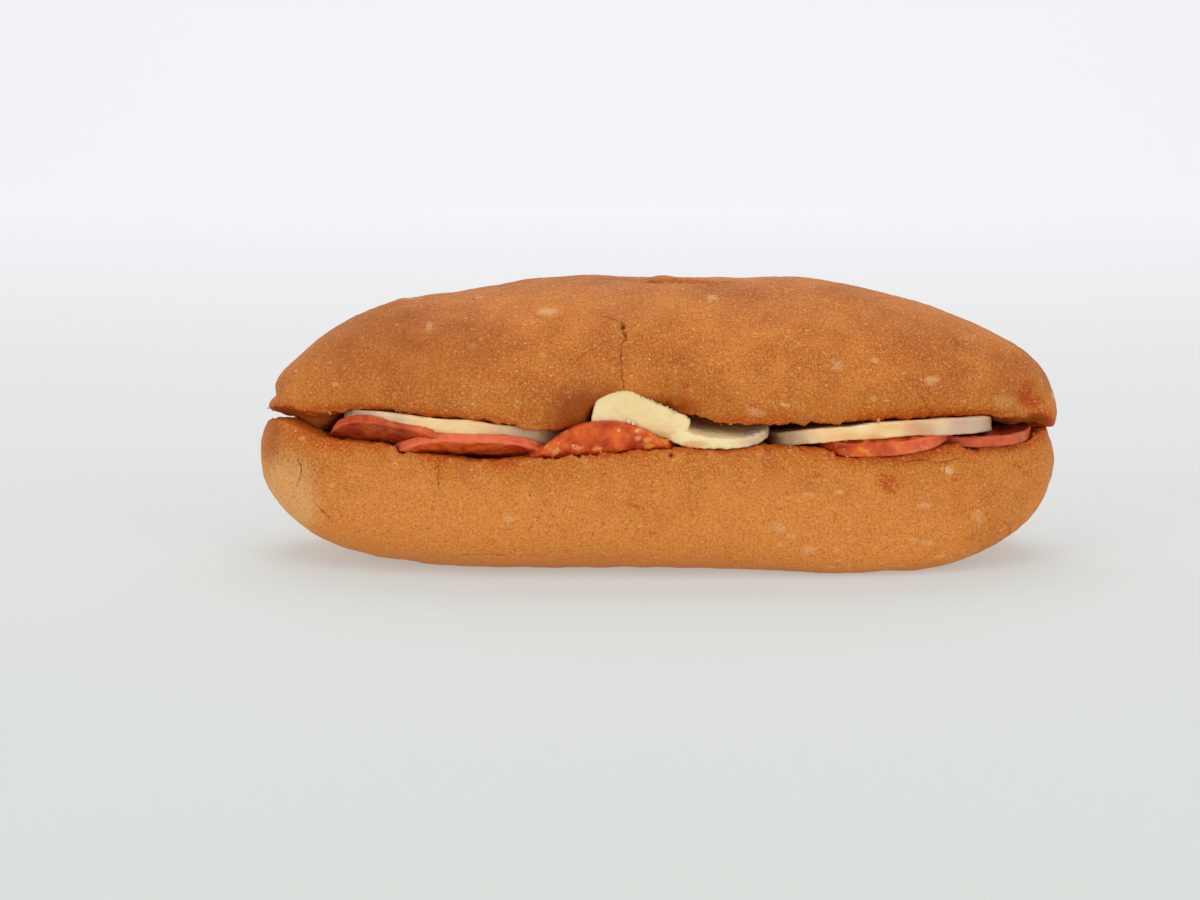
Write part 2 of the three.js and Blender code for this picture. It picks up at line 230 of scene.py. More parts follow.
# %% Superellipse outline
def superellipse(count, left, right, half_width, fullness, front_share=0.0):
    """x = reach cos^(2/n), y = half width sin^(2/n), with n the fullness, walked at even steps. With a
    front share f the steps shrink by that share at the front and grow by it at the back. A column of
    shares gives one outline for each of them."""
    angle = np.linspace(0, 2 * np.pi, 20001)
    reach = np.where(np.cos(angle) > 0, right, left)
    x = reach * signed_power(np.cos(angle), 2 / fullness)
    y = half_width * signed_power(np.sin(angle), 2 / fullness)
    walked = np.concatenate([[0], np.cumsum(np.hypot(np.diff(x), np.diff(y)))])
    turn = np.arange(count) / count
    wanted = (turn - front_share * np.cos(2 * np.pi * turn) / (2 * np.pi)) % 1 * walked[-1]
    return np.interp(wanted, walked, x), np.interp(wanted, walked, y)


def rounded_polygon(count, corners, softness):
    """A closed line through the corners, walked at even steps. Each point is then the mean of its
    neighbours, weighted by a bell of the given width in millimetres, which rounds the corners."""
    x, y = np.array(corners + corners[:1], float).T
    walked = np.concatenate([[0], np.cumsum(np.hypot(np.diff(x), np.diff(y)))])
    wanted = np.arange(count) / count * walked[-1]
    line = np.interp(wanted, walked, x) + 1j * np.interp(wanted, walked, y)
    weights = np.exp(-((np.minimum(wanted, walked[-1] - wanted) / softness) ** 2))
    line = np.fft.ifft(np.fft.fft(line) * np.fft.fft(weights / weights.sum()))
    return line.real, line.imag


# %% [markdown]
# ## The slices
# The filling comes first, because the bread is soft and gives way to it. A slice is a disc with a
# rounded rim. Its near part may be bent up or down along a line, and its length may sag. A cloth
# simulation could bend it too, but a slice of cheese or cured sausage bends along one line and keeps
# its length, which a formula gives exactly.


# %% Bending a slice
def bend(u, v, start, radius, angle, sag):
    """The middle surface of a slice over its flat place (u, v), and the way it faces. Past the start
    the slice follows an arc of the given radius through the angle and then runs straight. Along u it
    rises by sag times u squared."""
    way = np.sign(angle)
    full = abs(np.radians(angle))
    beyond = np.maximum(0, -v - start)
    turned = np.minimum(beyond / radius, full)
    straight = np.maximum(0, beyond - radius * full)
    along = radius * np.sin(turned) + straight * np.cos(turned)
    up = way * (radius * (1 - np.cos(turned)) + straight * np.sin(turned))
    middle = np.stack([u, v + beyond - along, up + sag * u * u], axis=-1)
    facing = np.stack([-2 * sag * u, way * np.sin(turned), np.cos(turned)], axis=-1)
    return middle, facing / np.linalg.norm(facing, axis=-1, keepdims=True)


def turned(points, pitch, roll, yaw):
    """Points turned about X by pitch, about Y by roll and about Z by yaw, in degrees: pitch lifts the
    near edge and roll the right-hand end."""
    a, b, c = np.radians([-pitch, -roll, yaw])
    about_x = np.array([[1, 0, 0], [0, np.cos(a), -np.sin(a)], [0, np.sin(a), np.cos(a)]])
    about_y = np.array([[np.cos(b), 0, np.sin(b)], [0, 1, 0], [-np.sin(b), 0, np.cos(b)]])
    about_z = np.array([[np.cos(c), -np.sin(c), 0], [np.sin(c), np.cos(c), 0], [0, 0, 1]])
    return points @ (about_z @ about_y @ about_x).T


SLICE_COLUMNS = 232  # points round a slice, about half a millimetre apart
FACE_ROWS = 40  # rings on each face of a slice
CORNER_ROWS = 6  # rings round each of its soft edges
RIM_ROWS = 3  # rings between a soft edge and the middle of the rim
EDGE_ROUNDING = 0.55  # radius of a slice's soft edges


def slice_profile(thickness, rounding=EDGE_ROUNDING):
    """Half of a slice's section, from the middle of its top over the rim to the middle of its
    underside: for each ring the share of the outline, the inset from it and the height."""
    half = thickness / 2
    face = np.linspace(0.02, 1, FACE_ROWS) ** 0.8
    corner = np.radians(np.linspace(75, 0, CORNER_ROWS))
    rim = np.linspace(half - rounding, 0, RIM_ROWS + 2)[1:-1]
    inset = np.concatenate([np.full(FACE_ROWS, rounding), rounding * (1 - np.cos(corner)), 0 * rim])
    top = np.concatenate([np.full(FACE_ROWS, half), half - rounding * (1 - np.sin(corner)), rim])
    share = np.concatenate([face, np.ones(CORNER_ROWS + RIM_ROWS)])
    return (np.concatenate([share, share[::-1]]), np.concatenate([inset, inset[::-1]]),
            np.concatenate([top, -top[::-1]]))


def slice_surface(shape):
    """Rings of one slice: the uneven outline times each ring's share, less its inset, bent, turned and
    set in its place. The outline's unevenness is a sum of sines of the direction."""
    if "corners" in shape:
        u, v = rounded_polygon(SLICE_COLUMNS, shape["corners"], 0.9)
    else:
        u, v = superellipse(SLICE_COLUMNS, shape["left"], shape["right"], shape["across"],
                            shape["fullness"])
    share, inset, height = (column[:, None] for column in slice_profile(shape["thickness"]))
    direction = np.arctan2(v, u)
    uneven = np.sin(3 * direction + shape["phase"]) + 0.6 * np.sin(5 * direction - 2 * shape["phase"])
    size = (1 + shape["waviness"] * uneven) * (share - inset / min(shape["left"], shape["across"]))
    flat_u = u * size
    flat_v = v * size
    middle, facing = bend(flat_u, flat_v, shape["bend_from"], shape["bend_radius"], shape["bend_angle"],
                          shape["sag"])
    points = middle + facing * (height * (1 + shape["taper"] * flat_u))[..., None]
    return turned(points, shape["pitch"], shape["roll"], shape["yaw"]) + np.array(shape["centre"])


# %% [markdown]
# ## The lay of the filling
# Each slice reaches so far left, right and across from its centre. Five rounds of sausage and three
# squarer slices of cheese lie like roof tiles. The middle cheese is torn: its near edge stands up
# like a flap, and the rest of it sags between its neighbours.

# %% Sizes and places of the slices
FLAT = dict(fullness=2.0, waviness=0.02, phase=0.0, taper=0.0, bend_from=1e3, bend_radius=10.0,
            bend_angle=0.0, sag=0.0, pitch=0.0, roll=0.0, yaw=0.0)
SAUSAGE = dict(FLAT, left=18.5, right=18.5, across=18.5, thickness=2.6)
CHEESE = dict(FLAT, left=27.5, right=27.5, across=21.0, thickness=3.7, fullness=2.7)

SLICES = {
    "sausage_slice_1": dict(SAUSAGE, fullness=3, phase=1, centre=(-61.0, -16.4, 32.3), yaw=-24,
                            bend_from=7, bend_radius=9, bend_angle=47),
    "sausage_slice_2": dict(SAUSAGE, left=20.2, right=20.2, across=19.2, fullness=3.1, phase=2.5,
                            waviness=0.01, centre=(-44.8, -17.6, 30.4), roll=-1.4,
                            bend_from=8.5, bend_radius=12, bend_angle=40),
    "sausage_slice_3": dict(SAUSAGE, left=22, right=20, across=22.2, waviness=0.012, phase=4,
                            centre=(-13.6, -19.6, 31.6), roll=4,
                            bend_from=13.6, bend_radius=2.2, bend_angle=84),
    "sausage_slice_4": dict(SAUSAGE, left=14.4, right=18.6, thickness=3.6, fullness=3.1,
                            waviness=0.01, phase=5, centre=(52.4, -18.7, 32.9), pitch=3, roll=4,
                            bend_from=8, bend_radius=25, bend_angle=-18),
    "sausage_slice_5": dict(SAUSAGE, left=16, right=16, across=17, thickness=2.8,
                            centre=(76.8, -11.6, 32.5), roll=0.6),
    "cheese_slice_1": dict(CHEESE, left=28.3, right=29, phase=0.5, centre=(-50, -13.2, 34.8),
                           pitch=6, roll=-5.8, yaw=-3, taper=0.007),
    "cheese_slice_3": dict(CHEESE, left=28.5, right=28.5, fullness=2.8, centre=(54, -15.3, 34.4),
                           pitch=6, roll=3.5, yaw=4, sag=-0.0012, taper=0.003),
}
TORN_FLAP = dict(FLAT, left=10.7, across=23.4, thickness=3.2, waviness=0,
                 corners=[(-10.7, 6), (-10.8, -17.1), (-10.0, -21.2), (-9.3, -22.9), (-5.6, -24.0),
                          (-1.6, -24.6), (-0.4, -23.9), (12.6, -17.9), (12.9, -17.0), (12.2, -14.6),
                          (12.6, 8), (0, 12)],
                 centre=(-5.8, -18.4, 35), bend_from=11.9, bend_radius=3, bend_angle=98)
SAGGING_BED = dict(CHEESE, left=15, right=12.4, thickness=3, fullness=4, centre=(14.6, -15.2, 34.9),
                   pitch=-5, roll=-1, sag=0.014, taper=-0.02)

surfaces = {name: slice_surface(shape) for name, shape in SLICES.items()}
for name, points in surfaces.items():
    low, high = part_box(name)
    corners = np.stack([points.min((0, 1)), points.max((0, 1))])
    drift = np.abs(corners - np.array([low, high]) / MM).max()
    print(f"{name}: rings and points {points.shape[:2]}, {drift:.1f} mm off its model's box")

# %% [markdown]
# ## The torn cheese
# The flap and the bed are one slice, so their two bodies are welded. The Remesh modifier lays a fine
# lattice through both and wraps one skin round what is inside. A Boolean union would keep the sharp
# line where they cross, which soft cheese does not have.


# %% Weld the flap and the bed
def welded(name, parts, cell):
    """One closed skin round several overlapping bodies, by a voxel lattice of the given cell."""
    piece = new_mesh(name, *joined(parts))
    skin = piece.modifiers.new("weld", "REMESH")
    skin.mode = "VOXEL"
    skin.voxel_size = cell * MM
    skin.use_smooth_shade = True
    evaluated = piece.evaluated_get(bpy.context.evaluated_depsgraph_get())
    finished = bpy.data.meshes.new_from_object(evaluated)
    piece.modifiers.clear()
    piece.data = finished
    return piece


def joined(parts):
    """Several stacks of rings as one list of points and one of faces."""
    points, faces, first = [], [], 0
    for part in parts:
        points.append(part.reshape(-1, 3))
        faces += [[first + corner for corner in face] for face in ring_faces(*part.shape[:2])]
        first += len(points[-1])
    return np.concatenate(points), faces


def mesh_points(piece):
    """A mesh's points in millimetres and its normals, as arrays."""
    count = len(piece.data.vertices)
    points, normals = np.empty(count * 3, np.float32), np.empty(count * 3, np.float32)
    piece.data.vertices.foreach_get("co", points)
    piece.data.vertex_normals.foreach_get("vector", normals)
    return points.reshape(-1, 3).astype(float) / MM, normals.reshape(-1, 3).astype(float)


torn_cheese = welded("cheese_torn", [slice_surface(TORN_FLAP), slice_surface(SAGGING_BED)], cell=0.3)
print("torn cheese:", len(torn_cheese.data.vertices), "points")

# %% [markdown]
# ## The relief of cut faces
# Sausage is ground coarse: its cut face is pitted where bits of fat have come away, and its rim is
# smooth where the casing was. Cheese is cut by a wire or blade, which leaves fine steps. Both are
# moved along their own normals by noise of the right size.


# %% Relief of the slices
def sausage_relief(points, on_face):
    """Millimetres outwards: on the faces lumps of 5 mm, grain of 1.6 mm and pits where lucky dots are
    nearer than 1 mm, and on the rim only soft waves of 7 mm."""
    away, luck = scattered_dots(points, 2.6, 11)
    pits = np.where(luck > 0.55, -0.28 * smooth_step(1.0, 0.3, away), 0)
    coarse = 0.14 * ripples(points, 5, 12) + 0.09 * ripples(points, 1.6, 13) + pits
    return mix(0.05 * ripples(points, 7, 14), coarse, on_face)


def cheese_relief(points, on_face):
    """Millimetres outwards: a soft wave of 11 mm and a knit of curds of 2 and 1 mm, which is stronger
    on the rim."""
    curds = ripples(points, 2.2, 22) + 0.7 * ripples(points, 1.1, 23)
    return 0.14 * ripples(points, 11, 21) + mix(0.08, 0.045, on_face) * curds


# The darkening is painted shade, for slices that lie in shadow under the bread.
SAUSAGE_LOOKS = {  # strength of the pink rim, amount of fat bits, darkening
    "sausage_slice_1": (0.05, 0.4, 0.6),
    "sausage_slice_2": (0.95, 0.3, 0.15),
    "sausage_slice_3": (0.1, 1.0, 0.0),
    "sausage_slice_4": (0.6, 0.8, 0.15),
    "sausage_slice_5": (0.55, 0.4, 1.0),
}
# Each patch: its middle along the roll and its height, its half sizes, and its strength.
CHEESE_OIL = [(-56, 35.4, 8, 1.6, 0.6), (-66, 37.4, 5, 1.0, 0.6), (47, 34.4, 10, 2.2, 0.5),
              (56, 37.4, 2, 0.8, 0.6), (52, 36.5, 20, 6, 0.3), (-52, 37, 22, 7, 0.22),
              (73.9, 37.6, 0.4, 0.8, 0.4), (80.5, 38.2, 2, 2.4, 0.5), (8.5, 33.1, 3.6, 1.0, 0.45),
              (61, 36.3, 4, 0.8, 0.3)]
# Places where the cheese is painted greyer, as shade under the bread's overhang.
CHEESE_PAINTED_SHADE = [(-70, 38, 10, 5, 0.9), (-30, 35, 12, 5, 1.0), (27, 35, 9, 4, 0.9), (73, 38, 14, 6, 1.0)]


def patches(x, z, rows):
    """The strongest of several ovals at each point. Each is full inside 0.5 of its half sizes and fades
    out at 1.3 of them."""
    return np.max([strength * smooth_step(1.3, 0.5, np.hypot((x - px) / rx, (z - pz) / rz))
                   for px, pz, rx, rz, strength in rows], axis=0)


def paint_cheese(piece, points):
    """Stores where the cheese is stained by oil, where it is painted greyer as shade under the bread, and
    how deep inside it lies, for a painted brown shade: the patches, made uneven by noise of 8 mm, and a
    step over the 12 mm behind the open front."""
    uneven = 0.9 + 0.3 * ripples(points, 8, 25)
    x, y, z = points[..., 0], points[..., 1], points[..., 2]
    paint(piece, oil=patches(x, z, CHEESE_OIL) * uneven * smooth_step(-20, -30, y),
          dry=np.clip(patches(x, z, CHEESE_PAINTED_SHADE) * uneven, 0, 1), depth=smooth_step(-32, -20, y))


slice_pieces = {}
for name, points in surfaces.items():
    rows = np.arange(points.shape[0])
    on_face = smooth_step(FACE_ROWS + 3, FACE_ROWS - 2, np.minimum(rows, rows[::-1]))[:, None]
    on_face = np.broadcast_to(on_face, points.shape[:2])
    relief = sausage_relief if name.startswith("sausage") else cheese_relief
    points = points + outward(points) * relief(points, on_face)[..., None]
    surfaces[name] = points
    piece = new_mesh(name.replace("slice_", ""), points, ring_faces(*points.shape[:2]))
    if name in SAUSAGE_LOOKS:
        rim, fat, dark = SAUSAGE_LOOKS[name]
        # The casing has come off the left part of the fourth slice.
        cased = smooth_step(48, 58, points[..., 0]) if name == "sausage_slice_4" else 1
        uneven = 0.85 + 0.2 * ripples(points, 2.5, 31)
        paint(piece, rim=(1 - on_face) * rim * cased * uneven, fat=np.full_like(on_face, fat),
              dark=dark * mix(0.3, 1, on_face))
    else:
        paint_cheese(piece, points)
    slice_pieces[name] = piece

torn_points, torn_normals = mesh_points(torn_cheese)
torn_points += torn_normals * cheese_relief(torn_points, np.zeros(len(torn_points)))[:, None]
torn_cheese.data.vertices.foreach_set("co", (torn_points * MM).astype(np.float32).ravel())
torn_cheese.data.update()
paint_cheese(torn_cheese, torn_points)
surfaces["cheese_slice_2"] = torn_points
slice_pieces["cheese_slice_2"] = torn_cheese

# %% [markdown]
# ## Where the filling presses
# Fresh bread takes the print of what lies in it. A map of the roll's plan, in cells of one
# millimetre, keeps the lowest and the highest point of the filling above each cell. The cut faces
# will stay just clear of both.

# %% Footprint of the filling
MAP_X = np.arange(-110, 111)
MAP_Y = np.arange(-60, 61)
NOTHING = 1000.0  # a height that no piece reaches


def footprint(lift):
    """For each cell of the map the highest point in it of the filling times lift: 1 gives the tops,
    and -1 gives the undersides with their sign changed."""
    tallest = np.full((len(MAP_X), len(MAP_Y)), -NOTHING)
    for points in surfaces.values():
        x, y, z = points.reshape(-1, 3).T
        cell = (np.rint(x - MAP_X[0]).astype(int), np.rint(y - MAP_Y[0]).astype(int))
        np.maximum.at(tallest, cell, z * lift)
    return tallest


def read_map(height_map, x, y):
    """The map's value at (x, y), the highest of the four cells around it."""
    i, j = np.floor(x - MAP_X[0]).astype(int), np.floor(y - MAP_Y[0]).astype(int)
    return np.max([height_map[i + a, j + b] for a in (0, 1) for b in (0, 1)], axis=0)


filling_tops = footprint(1)
filling_undersides = footprint(-1)
covered = (filling_tops > -NOTHING).mean() * filling_tops.size / 100
print(f"the filling covers {covered:.0f} square centimetres")

# %% [markdown]
# ## The cut through the roll
# The knife left the back uncut, so the upper half hinges there and gapes at the front. Two height
# formulas give the cut faces: the lower one is pressed hollow and dented under the slices, and the
# upper one rises from the hinge line, hangs in two lobes, and lifts in the pinched middle.

# %% Heights of the cut faces
HINGE_LINE = 14  # middle of the roll to the line behind which its halves lie together
GAPE_RISE = 6.9  # rise of the upper cut face from the hinge line to FRONT_LINE
FRONT_LINE = -28  # the line near the open front where the cut face has risen so far
PRESS_LIMIT = 3.5  # deepest print of the filling in the bread
UPPER_FULLNESS = 2.25  # how square the upper half is, seen from above
LOWER_FULLNESS = 2.6

# Each hump: its rise, its place along the roll, and its width.
LOWER_EDGE_DENTS = [(0.9, -72, 12), (-2.8, -42, 15), (1.4, 18, 16), (-1.6, 55, 9), (1.5, 80, 11)]
LOWER_END_LIPS = [(1.2, -HALF_LENGTH, 10), (1.6, HALF_LENGTH, 8)]
UPPER_EDGE_LOBES = [(1.7, -86, 7), (0.9, -78, 5), (0.4, -70, 10), (-3.3, -29, 18), (-1.0, -21, 4.5),
                    (0.9, -6, 12), (0.5, 9, 4), (-2.1, 20, 12), (-1.5, 42, 14), (0.8, 84, 4)]


def reach_in_plan(x, y, fullness):
    """Seen from above, 0 in the middle of the roll and 1 on a superellipse x^n + y^n = 1 round it, with
    x and y as shares of the half length and half width."""
    return (np.abs(x / HALF_LENGTH) ** fullness + np.abs(y / HALF_WIDTH) ** fullness) ** (1 / fullness)


def pressed_share(x, y):
    """How much of the filling's pressure is felt: 1 inside and in front of the hinge, and 0 along the
    crust."""
    return smooth_step(0.93, 0.78, reach_in_plan(x, y, 2.4)) * smooth_step(18, 4, y)


def lower_cut_height(x, y):
    """The cut's height, plus dents at the front and lips at the ends, less the pressed hollow."""
    dents = humps(x, LOWER_EDGE_DENTS) * smooth_step(12, -24, y)
    lips = humps(x, LOWER_END_LIPS) + 3.6 * bell(x, -92, 8) * smooth_step(10, -14, y)
    return CUT_HEIGHT + dents + lips - 1.4 * pressed_share(x, y)


def upper_cut_height(x, y):
    """A slope that starts softly at the hinge line, plus lobes at the front, but nowhere below the
    lower half. Towards both ends the hinge line comes forward. The left end lifts, with a wall of
    uncut crumb behind its crust, and the right tip drops under a lip that opens a little."""
    hinge = HINGE_LINE - 24 * smooth_step(70, 90, x) - 22 * bell(x, -84, 9)
    before_hinge = (hinge - y + np.hypot(hinge - y, 4)) / 2
    slope = GAPE_RISE / (hinge - FRONT_LINE)
    lobes = humps(x, UPPER_EDGE_LOBES) * smooth_step(4, 4 - HALF_WIDTH, y)
    behind_crust = smooth_step(0.92, 0.84, reach_in_plan(x, y, UPPER_FULLNESS))
    left_lift = 3.1 * bell(x, -96, 12) * smooth_step(26, -4, y)
    left_wall = 5.0 * bell(x, -86, 5) * behind_crust * (y < 0)
    right_drop = 2.0 * bell(x, HALF_LENGTH + 1, 6)
    right_lip = 4.2 * bell(x, 96, 7.5) * (1 - behind_crust) * smooth_step(-3, -12, y)
    ends = left_lift - left_wall - right_drop + right_lip
    height = CUT_HEIGHT + slope * before_hinge + lobes + ends + 3 * pressed_share(x, y)
    return np.maximum(height, lower_cut_height(x, y)) + TOUCH_GAP


def pressed_down(x, y, height):
    """The lower cut face, kept below the filling's undersides."""
    return np.clip(-read_map(filling_undersides, x, y) - TOUCH_GAP, height - PRESS_LIMIT, height)


def pressed_up(x, y, height):
    """The upper cut face, kept above the filling's tops."""
    return np.clip(read_map(filling_tops, x, y) + TOUCH_GAP, height, height + PRESS_LIMIT)


part = upper_cut_height(0.0, -30.0) - lower_cut_height(0.0, -30.0)
print(f"at the middle of the front the halves part by {part:.1f} mm")

# %% [markdown]
# ## One half of the roll
# Each half is rings again: from the middle line of the cut face out to its edge, and over the crust
# to the crest or the base. A section through the crust is a superellipse, x^n + z^n = 1, that starts
# a little below its widest line, so that the crust turns in at the edge. Its side is stepped by
# height and its cap by reach, because even steps of the angle would leave the upright side bare.

# %% Rings of one half
ROLL_COLUMNS = 620  # points round the roll, about half a millimetre apart at the front
FRONT_SHARE = 0.35  # how much closer together they lie there than on average
CUT_ROWS = 28  # rings from the middle line of the cut face to its edge
UPPER_SET_BACK = 1.8  # the upper half stops this far short of the lower one at the left


def drawn_in(x, y, reach):
    """A point of the outline, drawn in towards the crest line: reach 1 is the outline, 0 the line."""
    return (SPINE_SHARE + (1 - SPINE_SHARE) * reach) * x, reach * y


def half_rings(outline, curl, fullness, cut_height, far_height, push, side_rows, cap_rows):
    """Points of the cut face's rings and of the crust's, and for each crust point its share of the way
    up from the edge to the crest, or down to the base. The outline, the curl and the fullness are
    functions, of the front share or of x. The first and the last ring lie on the middle line, where
    the front share fades to 0, so that front and back points meet in pairs there. The rings of the
    cut face get closer together towards its edge."""
    step = np.linspace(0, 1, CUT_ROWS)[:, None]
    x0, y0 = outline(FRONT_SHARE * smooth_step(0, 0.6, step))
    edge_reach = np.cos(curl(x0, y0)) ** (2 / fullness(x0))
    cut_x, cut_y = drawn_in(x0, y0, edge_reach * (1.63 * step - 0.63 * step**2))
    cut = np.stack([cut_x, cut_y + push(cut_x, cut_y, 0 * cut_x), cut_height(cut_x, cut_y)], axis=-1)

    side_step = np.linspace(0, 1, side_rows + 1)[1:, None]
    cap_step = np.linspace(0, 1, cap_rows + 1)[1:, None]
    front_share = FRONT_SHARE * np.concatenate([np.ones((side_rows, 1)), smooth_step(1, 0.1, cap_step)])
    x0, y0 = outline(front_share)
    full, curled = fullness(x0), curl(x0, y0)
    edge_reach = np.cos(curled) ** (2 / full)
    edge_drop = np.sin(curled) ** (2 / full)
    corner = 0.5 ** (1 / full)
    side = mix(-edge_drop, corner, np.concatenate([side_step, np.ones((cap_rows, 1))]))
    cap = mix(corner, 0, np.concatenate([np.zeros((side_rows, 1)), cap_step]))
    on_cap = np.arange(side_rows + cap_rows)[:, None] >= side_rows
    reach = np.where(on_cap, cap, (1 - np.abs(side) ** full) ** (1 / full))
    height = np.where(on_cap, (1 - cap**full) ** (1 / full), side)
    share = (height + edge_drop) / (1 + edge_drop)
    edge_x, edge_y = drawn_in(x0, y0, edge_reach)
    crust_x, crust_y = drawn_in(x0, y0, reach)
    crust_z = mix(cut_height(edge_x, edge_y), far_height(crust_x), share)
    crust = np.stack([crust_x, crust_y + push(crust_x, crust_y, share), crust_z], axis=-1)
    return cut, crust, share


def zipped(points, faces):
    """Closes the first and the last ring, whose front and back points lie on one line: each pair
    becomes one point at its middle, and the flat end faces go."""
    rows, columns = points.shape[:2]
    partner = (-np.arange(columns)) % columns
    for row in (0, rows - 1):
        points[row] = (points[row] + points[row, partner]) / 2
    index = np.arange(rows * columns).reshape(rows, columns)
    index[[0, -1]] = np.minimum(index[[0, -1]], index[[0, -1]][:, partner])
    used, renumbered = np.unique(index, return_inverse=True)
    walls = renumbered.reshape(-1)[np.array(faces[:-2])]
    return used, walls.tolist()


def crest_height(x):
    """Nearly level in the middle with a shallow dip, and falling away to both ends."""
    left = 17 * np.maximum(-x / HALF_LENGTH, 0) ** 3.15 + 1.8 * bell(x, -52, 16)
    return CREST_HEIGHT - np.where(x > 0, 11.3 * smooth_step(32, 92, x), left)


def pinch(x, y, share):
    """How far the middle of the upper front is pinched in; it fades towards the crest."""
    return 7 * bell(x, -4, 15) * np.maximum(1 - share, 0) ** 1.3 * np.maximum(-y / HALF_WIDTH, 0)


def upper_outline(front_share):
    """The upper half from above, a little shorter at the left."""
    left = HALF_LENGTH - UPPER_SET_BACK
    return superellipse(ROLL_COLUMNS, left, HALF_LENGTH, HALF_WIDTH, UPPER_FULLNESS, front_share)


def lower_outline(front_share):
    """The lower half from above, squarer than the upper one."""
    return superellipse(ROLL_COLUMNS, HALF_LENGTH, HALF_LENGTH, HALF_WIDTH, LOWER_FULLNESS, front_share)


def upper_curl(x, y):
    """The turn-in of the edge, weaker at the back and fading to almost nothing at the tips."""
    return EDGE_CURL * (1 - 0.85 * (x / HALF_LENGTH) ** 6) * np.where(y < 0, 1, 0.8)


def base_height(x):
    """The base sinks a little below the table, where it will be pressed flat, and lifts at the ends."""
    return -0.8 + 3.8 * smooth_step(50, 106, -x) + 2.7 * smooth_step(70, 104, x)


upper_cut, upper_crust, upper_share = half_rings(
    upper_outline, upper_curl, lambda x: 2 + 0.37 * smooth_step(50, 100, x),
    upper_cut_height, crest_height, pinch, side_rows=76, cap_rows=54)
lower_cut, lower_crust, lower_share = half_rings(
    lower_outline, lambda x, y: EDGE_CURL + 0 * x,
    lambda x: 3.6 + 3.2 * bell(x, 55, 24) - np.where(x < 0, 1.3, 1.7) * np.abs(x / HALF_LENGTH) ** 7.7,
    lower_cut_height, base_height, lambda x, y, share: 0 * x, side_rows=84, cap_rows=40)
print("upper crust:", upper_crust.shape, "lower crust:", lower_crust.shape)

# %% [markdown]
# ## Marks in the crust
# What makes a crust this roll's own are its marks: cracks where it was squeezed, blisters where gas
# lifted the skin in the oven, torn patches, and stains of red oil. Each is listed by its place along
# the roll and its height, and kept as numbers on the surface. The relief and the material both read
# them, so a crack is a groove and a dark line at once.

# %% Cracks, blisters and stains
# Each crack: its strength, and its corners along the roll and up.
UPPER_CRACKS = [
    (0.6, [(-14.5, 63.3), (-11.6, 62.8), (-10.0, 61.7), (-8.8, 60.4)]),
    (1.0, [(-9.2, 61.9), (-8.4, 60.6), (-8.9, 59.3), (-8.2, 58.0), (-9.4, 57.2), (-9.4, 52.5),
           (-9.3, 48.5), (-8.6, 46.4)]),
    (0.4, [(-23.4, 53.4), (-20.4, 53.5), (-17.6, 55.2), (-14.4, 56.9), (-11.6, 57.8)]),
    (0.7, [(62.6, 44.8), (64.3, 42.4), (66.2, 39.6)]),
]
LOWER_CRACKS = [
    (0.7, [(-53.7, 30.6), (-53.3, 28.4), (-53.8, 25.0), (-53.4, 22.0)]),
    (0.9, [(-88.3, 27.2), (-88.0, 24.4), (-88.9, 22.0)]),
    (0.7, [(-84.2, 16.2), (-82.6, 14.6), (-81.0, 13.2)]),
    (0.5, [(-48.0, 5.3), (-43.0, 5.8), (-38.0, 5.4)]),
    (0.8, [(58.6, 28.3), (63.0, 28.7), (67.5, 27.9), (71.5, 28.4), (75.4, 28.1)]),
    (0.6, [(69.3, 28.0), (69.0, 25.8)]),
    (0.6, [(56.5, 30.9), (56.2, 28.4)]),
    (0.7, [(85.2, 12.0), (86.6, 10.6), (86.9, 9.0)]),
]
# Each blister and hole is a patch, as on the cheese.
# The last of the upper blisters is a pale spot on the right tip.
UPPER_BLISTERS = [(-27.2, 63.7, 2.6, 0.9, 1), (-56.0, 59.7, 1.2, 0.9, 0.9), (65.9, 47.8, 2.0, 1.1, 0.8),
                  (30.2, 42.6, 1.0, 0.6, 1), (22.9, 40.9, 2.0, 1.2, 0.9), (42.5, 52.0, 1.4, 1.6, 0.6),
                  (13.0, 66.5, 1.5, 0.5, 0.8), (98.3, 41.0, 0.8, 0.9, 1)]
LOWER_BLISTERS = [(-36.7, 15.2, 1.5, 1.0, 0.6), (36.0, 20.6, 1.4, 0.7, 0.6), (29.0, 12.8, 1.3, 1.3, 0.6),
                  (35.9, 7.2, 1.7, 1.1, 0.6), (31.7, 10.5, 1.3, 0.6, 0.6), (64.5, 17.6, 2.0, 0.8, 0.6),
                  (78.5, 13.9, 1.3, 1.6, 0.5), (61.9, 8.8, 1.4, 0.9, 0.6), (65.7, 7.9, 1.3, 0.9, 0.6),
                  (69.9, 26.1, 1.2, 1.0, 1)]
UPPER_HOLES = [(-8.7, 60.9, 0.5, 0.8, 1), (-8.3, 59.1, 0.35, 0.6, 1)]
LOWER_HOLES = [(26.3, 32.3, 1.6, 0.4, 1), (34.2, 31.8, 0.8, 0.5, 1), (2.8, 30.7, 0.6, 0.6, 1)]
CRACK_RANGE = 3  # distances to a crack are kept up to this many millimetres


def line_distance(x, z, cracks):
    """Signed distance to the nearest crack and that crack's strength. A crack is a chain of straight
    steps. The sign tells its two sides apart, so that the line between them stays thin however
    coarse the points are."""
    signed, strength = np.full(x.shape, 99.0), np.zeros(x.shape)
    for weight, corners in cracks:
        for (x1, z1), (x2, z2) in zip(corners, corners[1:]):
            dx, dz = x2 - x1, z2 - z1
            along = np.clip(((x - x1) * dx + (z - z1) * dz) / (dx * dx + dz * dz), 0, 1)
            away = np.hypot(x - x1 - along * dx, z - z1 - along * dz)
            side = np.where((x - x1) * dz - (z - z1) * dx > 0, 1, -1)
            nearer = away < np.abs(signed)
            signed = np.where(nearer, away * side, signed)
            strength = np.where(nearer, weight, strength)
    return np.clip(signed, -CRACK_RANGE, CRACK_RANGE), strength


# %% [markdown]
# ## The crust's relief
# The skin of a soft roll is never smooth: it has long waves from shaping, dimples and a fine
# leathery grain. Near the cut the crust is frayed. All of it is added along the surface's normals.


